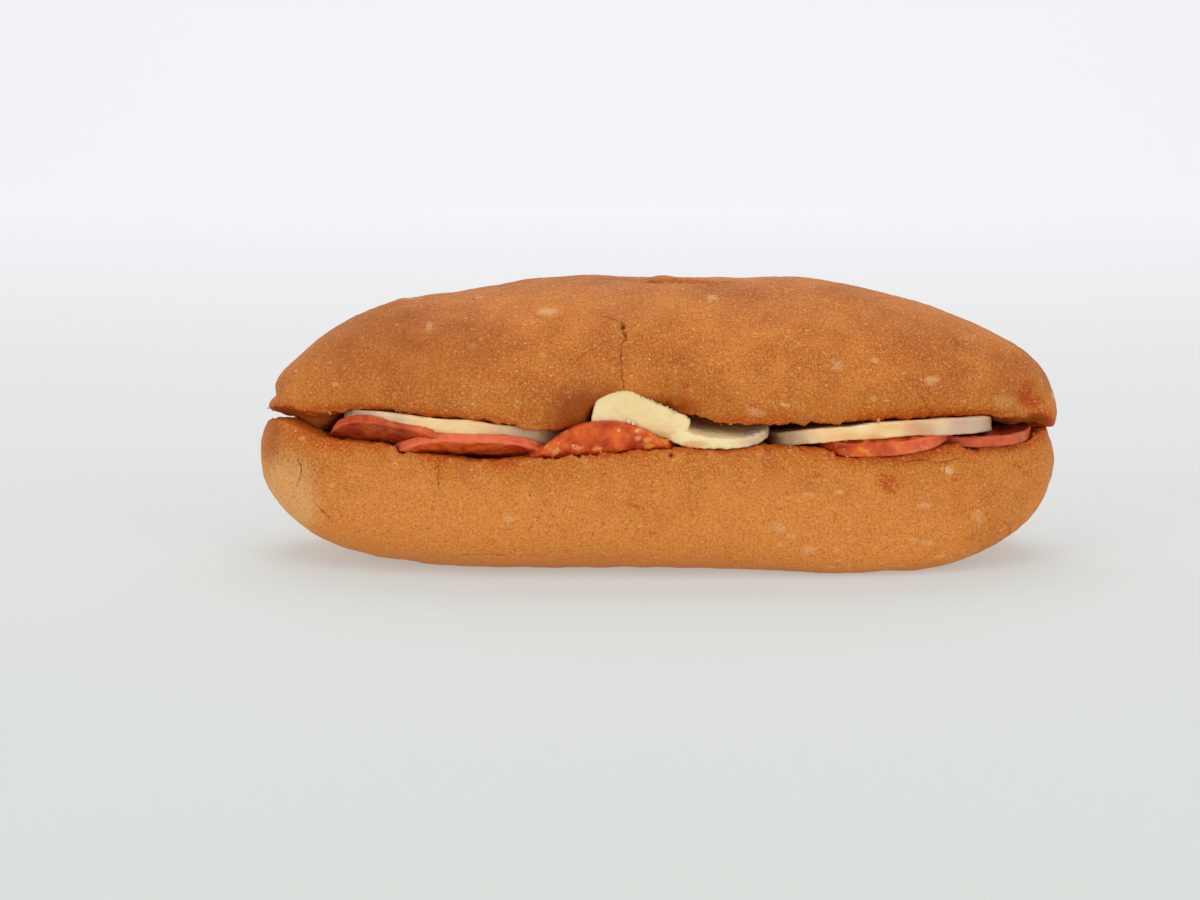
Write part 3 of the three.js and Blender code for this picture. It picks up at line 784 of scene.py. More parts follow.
# %% Relief of crust and crumb
def crust_relief(points, seed):
    """Millimetres outwards: waves of 34, 11 and 3 mm, small blisters and pinholes at lucky dots."""
    waves = (0.3 * ripples(points, 34, seed) + 0.11 * ripples(points, 11, seed + 1)
             + 0.045 * ripples(points, 3, seed + 2))
    away, luck = scattered_dots(points, 5.5, seed + 3)
    blisters = np.where(luck > 0.6, 0.16 * smooth_step(1.3, 0.4, away), 0)
    away, luck = scattered_dots(points, 3.4, seed + 4)
    pinholes = np.where(luck > 0.72, -0.22 * smooth_step(0.65, 0.1, away), 0)
    return waves + blisters + pinholes


def crumb_relief(points, seed):
    """Millimetres outwards: pores of 1 and 2 mm, deepest at their middle, in a rough ground."""
    large, luck = scattered_dots(points, 3.1, seed)
    small, _ = scattered_dots(points, 1.7, seed + 1)
    pores = -0.75 * smooth_step(1.4, 0.2, large) * (luck > 0.4) - 0.3 * smooth_step(0.8, 0.2, small)
    return 0.3 + pores + 0.18 * ripples(points, 2.2, seed + 2)


def fray(points, seed):
    """Unevenness of a torn edge, in millimetres: ripples of 5, 1.8 and 0.9 mm."""
    return (0.3 * ripples(points, 5, seed) + 0.2 * ripples(points, 1.8, seed + 1)
            + 0.14 * ripples(points, 0.9, seed + 2))


def top_tear(points):
    """Share of the torn place on the crest: an oval 20 by 5 mm with a ragged border."""
    x, y = points[..., 0], points[..., 1]
    ragged = 0.25 * ripples(points, 3, 91) + 0.2 * ripples(points, 1.2, 92)
    return smooth_step(1.08, 0.9, np.hypot((x - 6.5) / 10, (y + 7.0 + 0.12 * x) / 2.6) + ragged)


def crest_relief(points, tear, share):
    """Millimetres outwards near the crest: a low bump at the left, a lifted flake behind the torn
    place, and that place itself, sunk by a millimetre or two with a rough bottom."""
    x, y, z = points[..., 0], points[..., 1], points[..., 2]
    bump = 0.5 * bell(x, -64.5, 2.6) * bell(y, -3, 8) * (share > 0.8)
    flake = 0.9 * bell(x, 1, 4) * bell(y, -2.4, 1.6) * (z > 60)
    sunk = tear * (0.3 * ripples(points, 1.7, 94) - 0.9 * (1 + bell(x, -1.5, 2.5)))
    return bump + flake + sunk


def tip_relief(points):
    """Millimetres outwards: a swollen lip at the right tip, less a notch at the left one."""
    x, y, z = points[..., 0], points[..., 1], points[..., 2]
    lip = 1.3 * bell(np.hypot(x - 97, z - 36.5), 0, 3.5) * (y < 0)
    notch = 1.7 * bell(z, 41.2, 2.2) * smooth_step(-92, -97.5, x) * (y < 10)
    return lip - notch


CRUST_REACH = 38  # mm over the crust from the cut edge to the crest or the base


def finish_half(name, cut, crust, share, flip, press, cracks, blisters, holes, seed):
    """Presses, frays and roughens one half, and builds its mesh with the marks its material reads.
    What moves the cut edge moves the crust too, less and less with the distance from the edge: the
    print of the filling dies out over 4 mm and the fray over 1.3 mm, each as e to a power."""
    x, z = crust[..., 0], crust[..., 2]
    at_front = smooth_step(0, -6, crust[..., 1])
    wander = 0.2 * ripples(crust, 5, seed + 9) + 0.16 * ripples(crust, 1.2, seed + 10)
    crack, strength = line_distance(x + wander, z + 0.6 * wander, cracks)
    raised = patches(x + 1.6 * wander, z - 1.2 * wander, blisters) * at_front
    hole = patches(x + wander, z, holes) * at_front
    tear = top_tear(crust) * (z > 60)
    relief = crust_relief(crust, seed) + crest_relief(crust, tear, share) + tip_relief(crust)
    relief += 0.2 * raised - 0.6 * hole - 0.25 * bell(crack, 0, 0.6) * strength * at_front
    crust = crust + outward(crust, flip) * relief[..., None]

    over_crust = share * CRUST_REACH
    pressed = press(cut[..., 0], cut[..., 1], cut[..., 2])
    torn = fray(cut[-1], seed + 8) * flip
    crust[..., 2] += (pressed[-1] - cut[-1, :, 2]) * np.exp(-over_crust / 4)
    crust[..., 2] += torn * np.exp(-over_crust / 1.3)
    to_edge = np.linspace(0, 1, CUT_ROWS)[:, None] ** 14
    cut = np.stack([cut[..., 0], cut[..., 1], pressed], axis=-1)
    cut += outward(cut, flip) * (crumb_relief(cut, seed + 5) * (1 - to_edge))[..., None]
    cut[..., 2] += torn * to_edge

    points = np.concatenate([cut, crust])
    points[..., 2] = np.maximum(points[..., 2], 0)
    used, faces = zipped(points, ring_faces(*points.shape[:2]))
    if flip < 0:
        faces = [face[::-1] for face in faces]
    piece = new_mesh(name, points.reshape(-1, 3)[used], faces)

    none = np.zeros(cut.shape[:2])
    from_edge = np.linalg.norm(cut[..., :2] - cut[-1, :, :2], axis=-1)
    uneven = np.clip(0.8 + 0.4 * ripples(crust, 5, seed + 11), 0.3, 1)
    marks = {  # each over the cut face and over the crust
        "crumb": (1 + none, np.maximum(np.exp(-over_crust / 0.35), tear)),
        "inner": (smooth_step(1, 9, from_edge), tear * (ripples(crust, 1.6, 93) > 0.3)),
        "crack": (CRACK_RANGE + none, crack),
        "crack_depth": (none, at_front * strength * uneven),
        "blister": (none, raised),
        "hole": (none, hole),
    }
    paint(piece, **{mark: np.concatenate(parts).reshape(-1)[used] for mark, parts in marks.items()})
    print(f"{name}: {len(faces)} faces, {points[..., 0].min():.1f} to {points[..., 0].max():.1f} mm long")
    return piece, points, used


upper_half, upper_points, upper_used = finish_half(
    "roll_top", upper_cut, upper_crust, upper_share, -1, pressed_up,
    UPPER_CRACKS, UPPER_BLISTERS, UPPER_HOLES, seed=40)
lower_half, lower_points, lower_used = finish_half(
    "roll_base", lower_cut, lower_crust, lower_share, 1, pressed_down,
    LOWER_CRACKS, LOWER_BLISTERS, LOWER_HOLES, seed=60)

# %% [markdown]
# ## Tones of the bake
# An oven browns unevenly: the crest gets most heat, the flanks less, and where dough lay against dough
# it stays pale. Oil from the sausage leaves orange stains near the cut. The folds beside the pinch, the
# upper left and the ends are darkened with painted shade, and the lower half is painted lighter towards
# its base, partly a paler bake and partly painted light from the floor.

# %% Tones and stains
UPPER_TONES = {  # patches of each tone
    "pale": [(84.5, 41.4, 3.2, 1.8, 0.4), (22.9, 40.6, 1.2, 0.8, 0.95)],
    # painted shade, not a tone of the crust: darkening beside the pinch, at the upper left and at the right
    # end
    "painted_shade": [(-17, 40.5, 11, 7.5, 1.0), (3.5, 42.0, 6.5, 3.0, 0.6), (-62, 55, 26, 9, 0.35),
              (90, 46, 10, 6, 0.3)],
    "gold": [(91.5, 41.5, 6.0, 4.5, 1.0), (85.0, 42.0, 5.0, 3.5, 0.5)],
    "stain": [(90.3, 43.2, 2.7, 3.3, 1.0), (92.4, 40.8, 2.8, 1.7, 1.0), (5.9, 47.3, 1.1, 0.8, 1.0),
              (-33.0, 40.5, 3.5, 1.6, 0.3), (22.6, 41.2, 3.6, 2.0, 0.5), (97.5, 34.0, 3.5, 1.6, 1.0)],
    "rough": [(89.0, 40.0, 7.0, 4.0, 0.2)],
}
LOWER_TONES = {
    "pale": [(-91.5, 17.5, 8.0, 11.0, 0.75), (-88.5, 14.0, 4.0, 4.0, 0.8), (69.9, 26.1, 0.9, 0.7, 0.8)],
    # painted shade at the left end
    "painted_shade": [(-96.0, 31.0, 3.5, 5.0, 0.35)],
    "gold": [(70.0, 30.8, 8.0, 1.8, 0.6), (56.0, 24.5, 4.5, 3.0, 0.8), (91.5, 31.5, 5.0, 5.0, 0.6)],
    "stain": [(69.3, 31.0, 2.8, 1.0, 0.8), (55.3, 23.4, 2.4, 2.4, 0.8), (71.8, 23.4, 1.0, 0.5, 0.8),
              (88.6, 25.6, 1.1, 0.8, 0.8), (91.0, 23.6, 1.8, 0.7, 0.6), (94.8, 33.5, 0.9, 1.8, 0.9),
              (-93.9, 34.4, 1.8, 1.6, 0.5), (12.0, 32.2, 13.0, 1.3, 0.9), (-74, 33.2, 15.0, 1.3, 0.6),
              (-6.3, 18.3, 1.0, 0.8, 0.6)],
    "rough": [(89.5, 28.5, 7.0, 7.5, 0.5), (-92.0, 22.0, 6.0, 9.0, 0.4), (70.0, 30.0, 16.0, 3.0, 0.3)],
}


def paint_tones(piece, points, used, share, tones, paler_base_and_painted_bounce, seed):
    """Stores for each tone how strong it is at each point, and the bake: soft noise of 30 and 8 mm,
    lighter towards the base, partly a paler bake and partly painted light from the floor. Oil also
    creeps along the cut edge, as a red line 3 mm wide inside a golden one of 6 mm, and both come and go."""
    x, z = points[..., 0], points[..., 2]
    at_front = smooth_step(4, -4, points[..., 1])
    ragged = 0.55 * ripples(points, 3.2, seed) + 0.45 * ripples(points, 1.3, seed + 4)
    marks = {tone: patches(x + ragged, z - 0.8 * ragged, rows) for tone, rows in tones.items()}
    from_edge = np.concatenate([np.zeros((CUT_ROWS, ROLL_COLUMNS)), share * CRUST_REACH])
    oily = 0.45 + 0.6 * ripples(points, 12, seed + 3) + 0.4 * ragged
    oily = np.clip(oily + 0.8 * bell(x, 68, 34) + 0.3 * bell(x, -78, 16), 0, 1)
    marks["stain"] = np.maximum(marks["stain"], 0.95 * bell(from_edge, 0, 3.0) * oily)
    marks["gold"] = np.maximum(marks["gold"], bell(from_edge, 0, 6.5) * oily)
    bake = 0.45 + 0.16 * ripples(points, 30, seed + 1) + 0.08 * ripples(points, 8, seed + 2)
    marks = {tone: values * at_front for tone, values in marks.items()}
    # Lighter towards the base: partly a paler bake, partly painted light bounced from the floor.
    marks["bake"] = bake + paler_base_and_painted_bounce * smooth_step(42, 5, z) * (1 - 0.6 * smooth_step(40, 90, x))
    paint(piece, **{tone: values.reshape(-1)[used] for tone, values in marks.items()})


paint_tones(upper_half, upper_points, upper_used, upper_share, UPPER_TONES, 0.0, 71)
paint_tones(lower_half, lower_points, lower_used, lower_share, LOWER_TONES, 0.8, 75)

# %% [markdown]
# ## Crumbs
# Cutting bread and tearing cheese leaves crumbs on the edges. Each is a lump of its own, modelled at
# its true size: a ball pulled about by noise. All lumps of a kind make one piece.


# %% Lumps along the edges
BALL_POINTS = 42  # of a ball of triangles, divided twice


def lumps(name, places, radii, seed):
    """One mesh of many lumps. A ball of triangles is pulled askew by a random matrix for each lump,
    roughened by noise, scaled to its radius and set at its place."""
    rng = np.random.default_rng(seed)
    ball = bmesh.new()
    bmesh.ops.create_icosphere(ball, subdivisions=2, radius=1)
    points = np.array([v.co[:] for v in ball.verts])
    triangles = np.array([[v.index for v in f.verts] for f in ball.faces])
    ball.free()
    twists = np.eye(3) + rng.uniform(-0.45, 0.45, (len(places), 3, 3))
    shapes = np.einsum("pi,nij->npj", points, twists)
    shapes *= (1 + 0.22 * rng.normal(size=(len(places), len(points), 1))) * radii[:, None, None]
    shapes += places[:, None, :]
    faces = (triangles + len(points) * np.arange(len(places))[:, None, None]).reshape(-1, 3)
    print(f"{name}: {len(places)} lumps, {len(faces)} triangles")
    return new_mesh(name, shapes, faces.tolist())


def along_edge(points, count, spread, seed):
    """Random places at the front of a half's cut edge, moved a little in all directions."""
    rng = np.random.default_rng(seed)
    edge = points[CUT_ROWS - 1]
    front = edge[edge[:, 1] < 0]
    return front[rng.integers(len(front), size=count)] + rng.normal(0, spread, (count, 3))


rng = np.random.default_rng(5)
BREAD_LUMPS = np.array([(52.6, -35.6, 38.9), (44.6, -35.6, 36.6), (44.8, -35.6, 34.0), (7.4, -35.5, 33.8)])
CHEESE_LUMPS = np.array([(-7.6, -35.6, 38.7), (-6.6, -35.7, 38.2)])
bread_places = np.concatenate([BREAD_LUMPS, along_edge(lower_points, 60, 0.3, 1),
                               along_edge(upper_points, 34, 0.3, 2)])
bread_radii = rng.gamma(6, 0.03, len(bread_places))
bread_radii[:len(BREAD_LUMPS)] = 0.4
bread_crumbs = lumps("bread_crumbs", bread_places, bread_radii, 6)
# The torn top edge of the flap falls by half a millimetre for each millimetre to the right.
x, y, z = torn_points.T
torn_edge = torn_points[(y < -27) & (x > -6) & (x < 7.5) & (z > 45.2 - 0.5 * (x + 6.5))]
cheese_places = np.concatenate([CHEESE_LUMPS, torn_edge[rng.integers(len(torn_edge), size=46)]])
cheese_radii = rng.gamma(6, 0.035, len(cheese_places))
cheese_radii[:len(CHEESE_LUMPS)] = 0.45
cheese_crumbs = lumps("cheese_crumbs", cheese_places, cheese_radii, 7)
paint_cheese(cheese_crumbs, np.repeat(cheese_places, BALL_POINTS, axis=0))

# %% [markdown]
# ## Materials
# Food gets its look from a few honest numbers: baked starch and cheese bend light by 1.4 to 1.45,
# and both are dull to satin. The variety is in the colour, at sizes that a ruler would find. Patterns
# use the pieces' own coordinates in metres, so a pattern of s millimetres has the scale 1000 / s.


# %% Tools for materials
def srgb(code):
    """The linear colour of a hex value, which is how colours are given."""
    parts = np.array([int(code[i:i + 2], 16) for i in (1, 3, 5)]) / 255
    return (*np.where(parts <= 0.04045, parts / 12.92, ((parts + 0.055) / 1.055) ** 2.4), 1.0)


def scale_for(size):
    """A texture's scale, for a pattern of that many millimetres."""
    return 1000 / size


def add(tree, kind, inputs, **settings):
    """Adds a node, sets its settings, and fills its inputs: a socket is linked, all else is a value."""
    node = tree.nodes.new(kind)
    for key, value in settings.items():
        setattr(node, key, value)
    for key, value in inputs.items():
        if isinstance(value, bpy.types.NodeSocket):
            tree.links.new(value, node.inputs[key])
        else:
            node.inputs[key].default_value = value
    return node


def new_material(name, **shader_inputs):
    """A material with one Principled shader whose constants are set on its own sockets."""
    material = bpy.data.materials.new(name)
    material.use_nodes = True
    shader = material.node_tree.nodes["Principled BSDF"]
    for key, value in shader_inputs.items():
        shader.inputs[key.replace("_", " ")].default_value = value
    return material, material.node_tree, shader


A, B, COLOUR = 6, 7, 2  # a Mix node's two colour inputs and its colour output

# %% [markdown]
# ## Baked crust and crumb
# The browning varies over 7 mm and, as a fine grain, over half a millimetre. Pale specks are burst
# bubbles, and dark dots are pinholes. The cut crumb is orange with oil at its edge and golden inside.

# %% Bread material
bread, tree, shader = new_material("baked_bread", Roughness=0.6, IOR=1.4, Specular_IOR_Level=0.2)
place = add(tree, "ShaderNodeTexCoord", {}).outputs["Object"]
bake = add(tree, "ShaderNodeAttribute", {}, attribute_name="bake").outputs["Fac"]
mottle = add(tree, "ShaderNodeTexNoise",
             {"Vector": place, "Scale": scale_for(7), "Detail": 3.0}).outputs[0]
grain = add(tree, "ShaderNodeTexNoise",
            {"Vector": place, "Scale": scale_for(0.5), "Detail": 3.0}).outputs[0]
# Under- and over-baked browns, which give the loaf its uneven, hand-made look. On the lower half the bake
# also holds painted light towards the base.
tone = add(tree, "ShaderNodeMath", {0: mottle, 1: bake}, operation="ADD").outputs[0]
tone = add(tree, "ShaderNodeMapRange", {0: tone, 1: 0.5, 2: 1.5}).outputs[0]
colour = add(tree, "ShaderNodeMix", {0: tone, A: srgb("#AE5A1E"), B: srgb("#DC873B")},
             data_type="RGBA").outputs[COLOUR]
# Places of another tone: golden or red with oil, pale, and blistered.
for mark, tint, strength in (("gold", "#CE7C22", 0.8), ("pale", "#F0BC7A", 0.75),
                             ("blister", "#ECB682", 0.75), ("stain", "#BC4206", 0.95)):
    share = add(tree, "ShaderNodeAttribute", {}, attribute_name=mark).outputs["Fac"]
    share = add(tree, "ShaderNodeMath", {0: share, 1: strength}, operation="MULTIPLY").outputs[0]
    colour = add(tree, "ShaderNodeMix", {0: share, A: colour, B: srgb(tint)},
                 data_type="RGBA").outputs[COLOUR]
# A fine grain, like leather: golden on its rises and red-brown in its hollows.
rise = add(tree, "ShaderNodeMapRange", {0: grain, 1: 0.5, 2: 0.75, 4: 0.6}).outputs[0]
colour = add(tree, "ShaderNodeMix", {0: rise, A: colour, B: srgb("#E8A458")},
             data_type="RGBA").outputs[COLOUR]
hollow = add(tree, "ShaderNodeMapRange", {0: grain, 1: 0.5, 2: 0.25, 4: 0.6}).outputs[0]
colour = add(tree, "ShaderNodeMix", {0: hollow, A: colour, B: srgb("#96450F")},
             data_type="RGBA").outputs[COLOUR]
# Specks: paler dots and dashes, most of them half a millimetre long and a few of two millimetres.
warp = add(tree, "ShaderNodeTexNoise",
           {"Vector": place, "Scale": scale_for(1.2), "Detail": 2.0}).outputs["Color"]
warp = add(tree, "ShaderNodeVectorMath", {0: warp, "Scale": 0.0009}, operation="SCALE").outputs[0]
ragged = add(tree, "ShaderNodeVectorMath", {0: place, 1: warp}, operation="ADD").outputs[0]
ragged = add(tree, "ShaderNodeVectorMath",
             {0: ragged, 1: (0.8, 1.0, 1.5)}, operation="MULTIPLY").outputs[0]
for size, rarity, radius, strength in ((0.8, 0.3, 0.36, 0.28), (1.7, 0.5, 0.24, 0.36),
                                       (3.4, 0.72, 0.2, 0.3), (7.0, 0.7, 0.17, 0.26)):
    cells = add(tree, "ShaderNodeTexVoronoi", {"Vector": ragged, "Scale": scale_for(size)})
    speck = add(tree, "ShaderNodeMapRange",
                {0: cells.outputs["Distance"], 1: radius, 2: radius / 2}).outputs[0]
    chosen = add(tree, "ShaderNodeSeparateColor", {0: cells.outputs["Color"]})
    lucky = add(tree, "ShaderNodeMapRange",
                {0: chosen.outputs[0], 1: rarity, 2: 1.0, 4: 2 * strength}).outputs[0]
    speck = add(tree, "ShaderNodeMath", {0: speck, 1: lucky}, operation="MULTIPLY").outputs[0]
    colour = add(tree, "ShaderNodeMix", {0: speck, A: colour, B: srgb("#EAB678")},
                 data_type="RGBA").outputs[COLOUR]
# Pinholes: dark dots, half a millimetre wide all over and smaller and crowded in the rough places.
rough = add(tree, "ShaderNodeAttribute", {}, attribute_name="rough").outputs["Fac"]
for size, rarity, radius, strength in ((3.1, 0.7, 0.16, 0.8), (1.3, 0.3, 0.45, rough)):
    cells = add(tree, "ShaderNodeTexVoronoi", {"Vector": place, "Scale": scale_for(size)})
    hole = add(tree, "ShaderNodeMapRange", {0: cells.outputs["Distance"], 1: radius, 2: 0.0}).outputs[0]
    drawn = add(tree, "ShaderNodeSeparateColor", {0: cells.outputs["Color"]})
    lucky = add(tree, "ShaderNodeMath",
                {0: drawn.outputs[1], 1: rarity}, operation="GREATER_THAN").outputs[0]
    hole = add(tree, "ShaderNodeMath", {0: hole, 1: lucky}, operation="MULTIPLY").outputs[0]
    hole = add(tree, "ShaderNodeMath", {0: hole, 1: strength}, operation="MULTIPLY").outputs[0]
    colour = add(tree, "ShaderNodeMix", {0: hole, A: colour, B: srgb("#8E3E10")},
                 data_type="RGBA").outputs[COLOUR]
# Painted shade: a deeper red-brown in the folds beside the pinch, at the upper left and at the ends.
painted_shade = add(tree, "ShaderNodeAttribute", {}, attribute_name="painted_shade").outputs["Fac"]
painted_shade = add(tree, "ShaderNodeMath", {0: painted_shade, 1: 0.7}, operation="MULTIPLY").outputs[0]
colour = add(tree, "ShaderNodeMix", {0: painted_shade, A: colour, B: srgb("#8A3609")},
             data_type="RGBA").outputs[COLOUR]
# The dark lines of the cracks, and holes.
crack = add(tree, "ShaderNodeAttribute", {}, attribute_name="crack").outputs["Fac"]
crack = add(tree, "ShaderNodeMath", {0: crack}, operation="ABSOLUTE").outputs[0]
crack = add(tree, "ShaderNodeMapRange", {0: crack, 1: 0.3, 2: 0.04, 4: 0.95}).outputs[0]
depth = add(tree, "ShaderNodeAttribute", {}, attribute_name="crack_depth").outputs["Fac"]
crack = add(tree, "ShaderNodeMath", {0: crack, 1: depth}, operation="MULTIPLY").outputs[0]
colour = add(tree, "ShaderNodeMix", {0: crack, A: colour, B: srgb("#7E2E06")},
             data_type="RGBA").outputs[COLOUR]
hole = add(tree, "ShaderNodeAttribute", {}, attribute_name="hole").outputs["Fac"]
colour = add(tree, "ShaderNodeMix", {0: hole, A: colour, B: srgb("#641A06")},
             data_type="RGBA").outputs[COLOUR]
# The crumb, where the knife went through.
crumb = add(tree, "ShaderNodeAttribute", {}, attribute_name="crumb").outputs["Fac"]
inner = add(tree, "ShaderNodeAttribute", {}, attribute_name="inner").outputs["Fac"]
inside = add(tree, "ShaderNodeMix", {0: inner, A: srgb("#C4601C"), B: srgb("#E09040")},
             data_type="RGBA").outputs[COLOUR]
grainy = add(tree, "ShaderNodeMapRange", {0: grain, 1: 0.3, 2: 0.7, 3: 0.8, 4: 1.15}).outputs[0]
inside = add(tree, "ShaderNodeVectorMath", {0: inside, "Scale": grainy}, operation="SCALE").outputs[0]
colour = add(tree, "ShaderNodeMix", {0: crumb, A: colour, B: inside}, data_type="RGBA").outputs[COLOUR]
tree.links.new(colour, shader.inputs["Base Color"])
# Grain and small lumps catch the light.
lumpy = add(tree, "ShaderNodeTexNoise",
            {"Vector": place, "Scale": scale_for(2.4), "Detail": 3.0}).outputs[0]
bump = add(tree, "ShaderNodeBump", {"Height": lumpy, "Distance": 0.0005, "Strength": 0.6}).outputs[0]
bump = add(tree, "ShaderNodeBump",
           {"Height": grain, "Distance": 0.00025, "Strength": 0.8, "Normal": bump}).outputs[0]
tree.links.new(bump, shader.inputs["Normal"])

crumb_lump, tree, shader = new_material("bread_crumb", Roughness=0.8, IOR=1.4, Specular_IOR_Level=0.25)
place = add(tree, "ShaderNodeTexCoord", {}).outputs["Object"]
grain = add(tree, "ShaderNodeTexNoise",
            {"Vector": place, "Scale": scale_for(2.5), "Detail": 2.0}).outputs[0]
colour = add(tree, "ShaderNodeMix", {0: grain, A: srgb("#B4682C"), B: srgb("#E4AC68")},
             data_type="RGBA").outputs[COLOUR]
tree.links.new(colour, shader.inputs["Base Color"])

# %% [markdown]
# ## Coarse red sausage
# Paprika and cure colour the lean meat orange-red. Bits of fat of 1 to 4 mm are cream, stained yellow
# by the paprika, and here and there the lean is maroon. The rim, where the casing was, is smooth and
# pink. Slices that lie in shadow are darkened to a deep red with painted shade.

# %% Sausage material
sausage, tree, shader = new_material("cured_sausage", Roughness=0.38, IOR=1.42, Specular_IOR_Level=0.4,
                                     Subsurface_Weight=0.12, Subsurface_Radius=(0.004, 0.0012, 0.0008),
                                     Subsurface_Scale=0.3)
place = add(tree, "ShaderNodeTexCoord", {}).outputs["Object"]
warp = add(tree, "ShaderNodeTexNoise",
           {"Vector": place, "Scale": scale_for(2.5), "Detail": 3.0}).outputs["Color"]
warp = add(tree, "ShaderNodeVectorMath", {0: warp, "Scale": 0.004}, operation="SCALE").outputs[0]
moved = add(tree, "ShaderNodeVectorMath", {0: place, 1: warp}, operation="ADD").outputs[0]
moved = add(tree, "ShaderNodeVectorMath", {0: moved, 1: (0.7, 1.0, 1.1)}, operation="MULTIPLY").outputs[0]
lean = add(tree, "ShaderNodeTexNoise", {"Vector": place, "Scale": scale_for(4), "Detail": 5.0}).outputs[0]
lean = add(tree, "ShaderNodeMapRange", {0: lean, 1: 0.36, 2: 0.64}).outputs[0]
colour = add(tree, "ShaderNodeMix", {0: lean, A: srgb("#B5320F"), B: srgb("#EA6A24")},
             data_type="RGBA").outputs[COLOUR]
# Bits, a little longer along the roll: maroon lean, and yellow, orange and pale fat, ever smaller.
fat = add(tree, "ShaderNodeAttribute", {}, attribute_name="fat").outputs["Fac"]
for size, threshold, tint in ((3.6, 0.88, "#7E1B10"), (3.0, 0.7, "#F2A03C"),
                              (2.0, 0.72, "#EC9E60"), (1.3, 0.78, "#F4C07A")):
    bits = add(tree, "ShaderNodeTexVoronoi", {"Vector": moved, "Scale": scale_for(size)})
    spot = add(tree, "ShaderNodeMapRange", {0: bits.outputs["Distance"], 1: 0.42, 2: 0.2}).outputs[0]
    drawn = add(tree, "ShaderNodeSeparateColor", {0: bits.outputs["Color"]})
    lucky = add(tree, "ShaderNodeMapRange",
                {0: drawn.outputs[0], 1: threshold, 2: threshold + 0.1, 4: 0.8}).outputs[0]
    spot = add(tree, "ShaderNodeMath", {0: spot, 1: lucky}, operation="MULTIPLY").outputs[0]
    spot = add(tree, "ShaderNodeMath", {0: spot, 1: fat}, operation="MULTIPLY").outputs[0]
    colour = add(tree, "ShaderNodeMix", {0: spot, A: colour, B: srgb(tint)},
                 data_type="RGBA").outputs[COLOUR]
# The smooth pink rim of the casing, then painted shade: a darker red on the slices in shadow.
for mark, tint in (("rim", "#F2744C"), ("dark", "#7A1C12")):
    share = add(tree, "ShaderNodeAttribute", {}, attribute_name=mark).outputs["Fac"]
    colour = add(tree, "ShaderNodeMix", {0: share, A: colour, B: srgb(tint)},
                 data_type="RGBA").outputs[COLOUR]
tree.links.new(colour, shader.inputs["Base Color"])
# Ground meat is knobbly, and the oil on it glints.
bump = add(tree, "ShaderNodeBump", {"Height": lean, "Distance": 0.0003, "Strength": 0.6}).outputs[0]
tree.links.new(bump, shader.inputs["Normal"])

# %% [markdown]
# ## Mild white cheese
# Fresh cheese lets light in a little way, which softens its edges. It is cream, and stained orange
# where it touches the sausage. Painted shade makes it greyer where the bread hangs over it and browner
# deeper inside the roll.

# %% Cheese material
cheese, tree, shader = new_material("white_cheese", Roughness=0.45, IOR=1.45, Specular_IOR_Level=0.4,
                                    Subsurface_Weight=0.6, Subsurface_Radius=(0.005, 0.004, 0.0025),
                                    Subsurface_Scale=0.4)
place = add(tree, "ShaderNodeTexCoord", {}).outputs["Object"]
soft = add(tree, "ShaderNodeTexNoise",
           {"Vector": place, "Scale": scale_for(16), "Detail": 3.0}).outputs[0]
soft = add(tree, "ShaderNodeMapRange", {0: soft, 1: 0.38, 2: 0.62}).outputs[0]
colour = add(tree, "ShaderNodeMix", {0: soft, A: srgb("#F3D9A2"), B: srgb("#FBE8B4")},
             data_type="RGBA").outputs[COLOUR]
# Painted shade: grey under the bread and brown deep inside; then the real orange stains of oil.
for mark, tint, strength in (("dry", "#C9AE9A", 0.85), ("depth", "#B8743A", 0.35), ("oil", "#E8862C", 1.0)):
    share = add(tree, "ShaderNodeAttribute", {}, attribute_name=mark).outputs["Fac"]
    share = add(tree, "ShaderNodeMath", {0: share, 1: strength}, operation="MULTIPLY").outputs[0]
    colour = add(tree, "ShaderNodeMix", {0: share, A: colour, B: srgb(tint)},
                 data_type="RGBA").outputs[COLOUR]
tree.links.new(colour, shader.inputs["Base Color"])

# %% [markdown]
# ## Join the pieces to the model
# Every piece stands for one node of the imported model and rides on its only body. Crumbs ride along.

# %% Riding, replacing and materials
dressed = {"roll_upper_half": (upper_half, bread, "crust"),
           "roll_lower_half": (lower_half, bread, "crust")}
for name, piece in slice_pieces.items():
    kind = "sausage" if name.startswith("sausage") else "cheese"
    dressed[name] = (piece, sausage if kind == "sausage" else cheese, kind)
for node, (piece, material, slot) in dressed.items():
    piece.data.materials.append(material)
    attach(piece, "root")
    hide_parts(node)
for piece, material, slot in ((bread_crumbs, crumb_lump, "crust"), (cheese_crumbs, cheese, "cheese")):
    piece.data.materials.append(material)
    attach(piece, "root")

# %% [markdown]
# ## Studio
# A pale table runs up into a pale wall in one smooth sweep, as paper does in a studio. A large lamp
# overhead gives the soft gleam on the crest, and a weak one in front opens the shadows. The paper glows
# a little with painted light, and is painted paler towards the wall.

# %% Table, lamps and camera
# The sweep's profile in metres: the table, a quarter circle of radius 0.5, and the wall.
turn = np.linspace(0, np.pi / 2, 20)[1:]
profile_y = np.concatenate([[-4], np.linspace(-1, 1.1, 30), 1.1 + 0.5 * np.sin(turn), [1.6]])
profile_z = np.concatenate([np.zeros(31), 0.5 - 0.5 * np.cos(turn), [4.0]])
sides = np.array([-4.0, 4.0])
sweep_points = np.stack(np.broadcast_arrays(sides, profile_y[:, None], profile_z[:, None]), axis=-1) / MM
rows = np.arange(len(profile_y) - 1)[:, None] * 2
sweep = new_mesh("studio_sweep", sweep_points, (rows + np.array([0, 1, 3, 2])).tolist())
glowing_paper, tree, shader = new_material("pale_paper_painted_glow", Roughness=0.9, Specular_IOR_Level=0.2,
                                   Emission_Strength=0.45)
place = add(tree, "ShaderNodeTexCoord", {}).outputs["Object"]
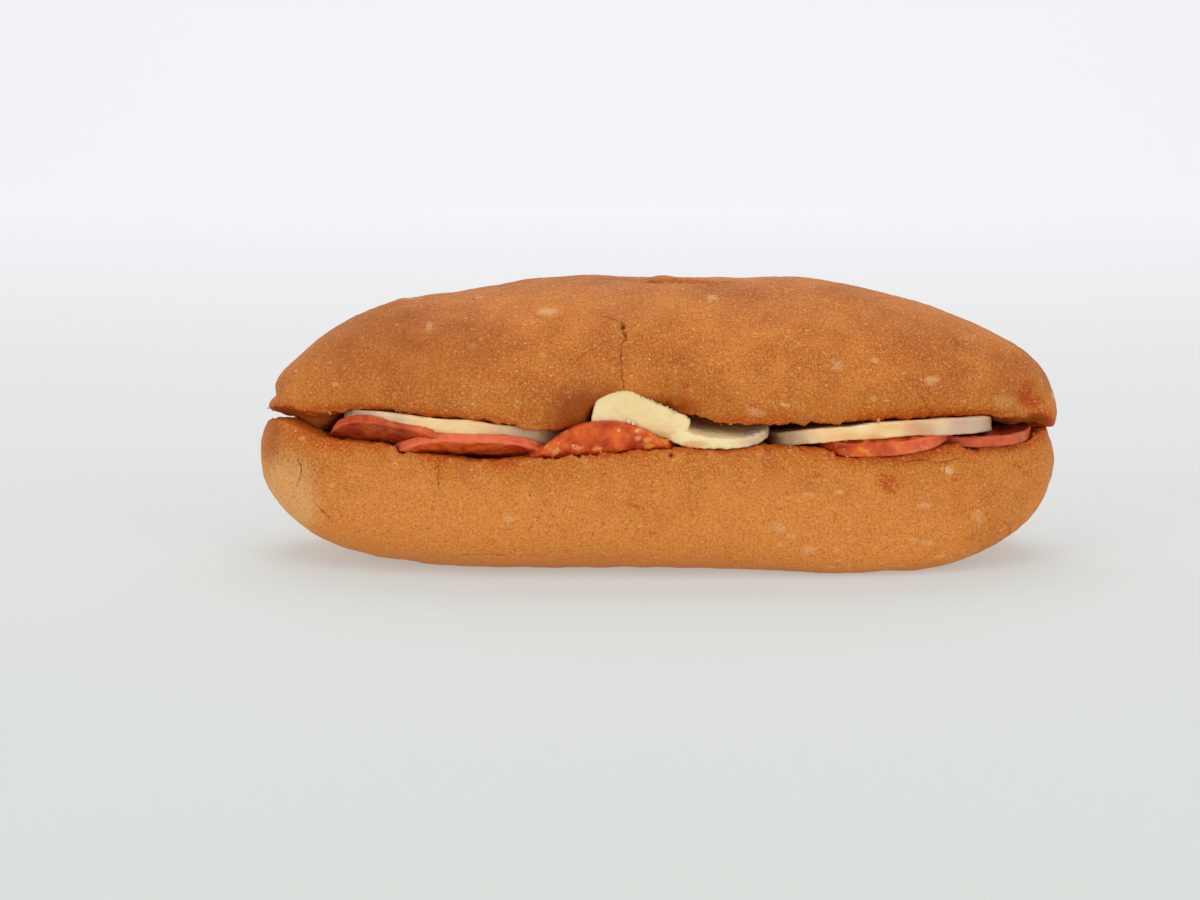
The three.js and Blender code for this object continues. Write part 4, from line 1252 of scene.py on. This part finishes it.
# Painted light: the paper is darker and greener near the viewer and paler towards the wall, as light falls
# off.
away = add(tree, "ShaderNodeSeparateXYZ", {0: place}).outputs[1]
away = add(tree, "ShaderNodeMapRange", {0: away, 1: -0.3, 2: 1.1}).outputs[0]
colour = add(tree, "ShaderNodeMix", {0: away, A: srgb("#DBE0DB"), B: srgb("#F2F2F6")},
             data_type="RGBA").outputs[COLOUR]
tree.links.new(colour, shader.inputs["Emission Color"])
# The paper glows with painted light, as if lit from below, so it needs only part of its own whiteness.
colour = add(tree, "ShaderNodeVectorMath", {0: colour, "Scale": 0.55}, operation="SCALE").outputs[0]
tree.links.new(colour, shader.inputs["Base Color"])
sweep.data.materials.append(glowing_paper)
sweep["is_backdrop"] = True

scene = bpy.context.scene
scene.view_settings.view_transform = "Standard"
world = bpy.data.worlds.new("soft_daylight")
scene.world = world
world.use_nodes = True
world.node_tree.nodes["Background"].inputs["Color"].default_value = srgb("#FAF9F8")
world.node_tree.nodes["Background"].inputs["Strength"].default_value = 0.56


def lamp(name, place, aim, size, power):
    """A square area lamp of the given side in metres, turned to the aim."""
    light = bpy.data.lights.new(name, "AREA")
    light.size, light.energy = size, power
    holder = bpy.data.objects.new(name, light)
    holder.location = place
    holder.rotation_euler = (Vector(aim) - Vector(place)).to_track_quat("-Z", "Y").to_euler()
    scene.collection.objects.link(holder)


lamp("overhead", (0, -0.4, 1.1), (0, -0.1, 0), 0.9, 1.9)
lamp("front_left", (-1.0, -1.0, 0.4), (0, 0, 0.03), 0.8, 4.8)
lamp("front_right", (1.0, -1.0, 0.4), (0, 0, 0.03), 0.8, 4.8)
lamp("backdrop", (0, 1.0, 1.6), (0, 1.55, 0.3), 1.2, 9)

lens = bpy.data.cameras.new("camera")
lens.lens = 90
viewpoint = bpy.data.objects.new("camera", lens)
elevation = np.radians(9)
aim = Vector((-0.0145, 0, 0.026))
viewpoint.location = aim + 0.76 * Vector((0, -np.cos(elevation), np.sin(elevation)))
viewpoint.rotation_euler = (np.pi / 2 - elevation, 0, 0)
scene.collection.objects.link(viewpoint)
scene.camera = viewpoint

# %% [markdown]
# ## Size
# The dressed roll must fill the same box as its model, so both boxes are printed.

# %% Print the dressed box
low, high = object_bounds()
print("dressed box, mm:", [round(1000 * x, 1) for x in (*low, *high)])
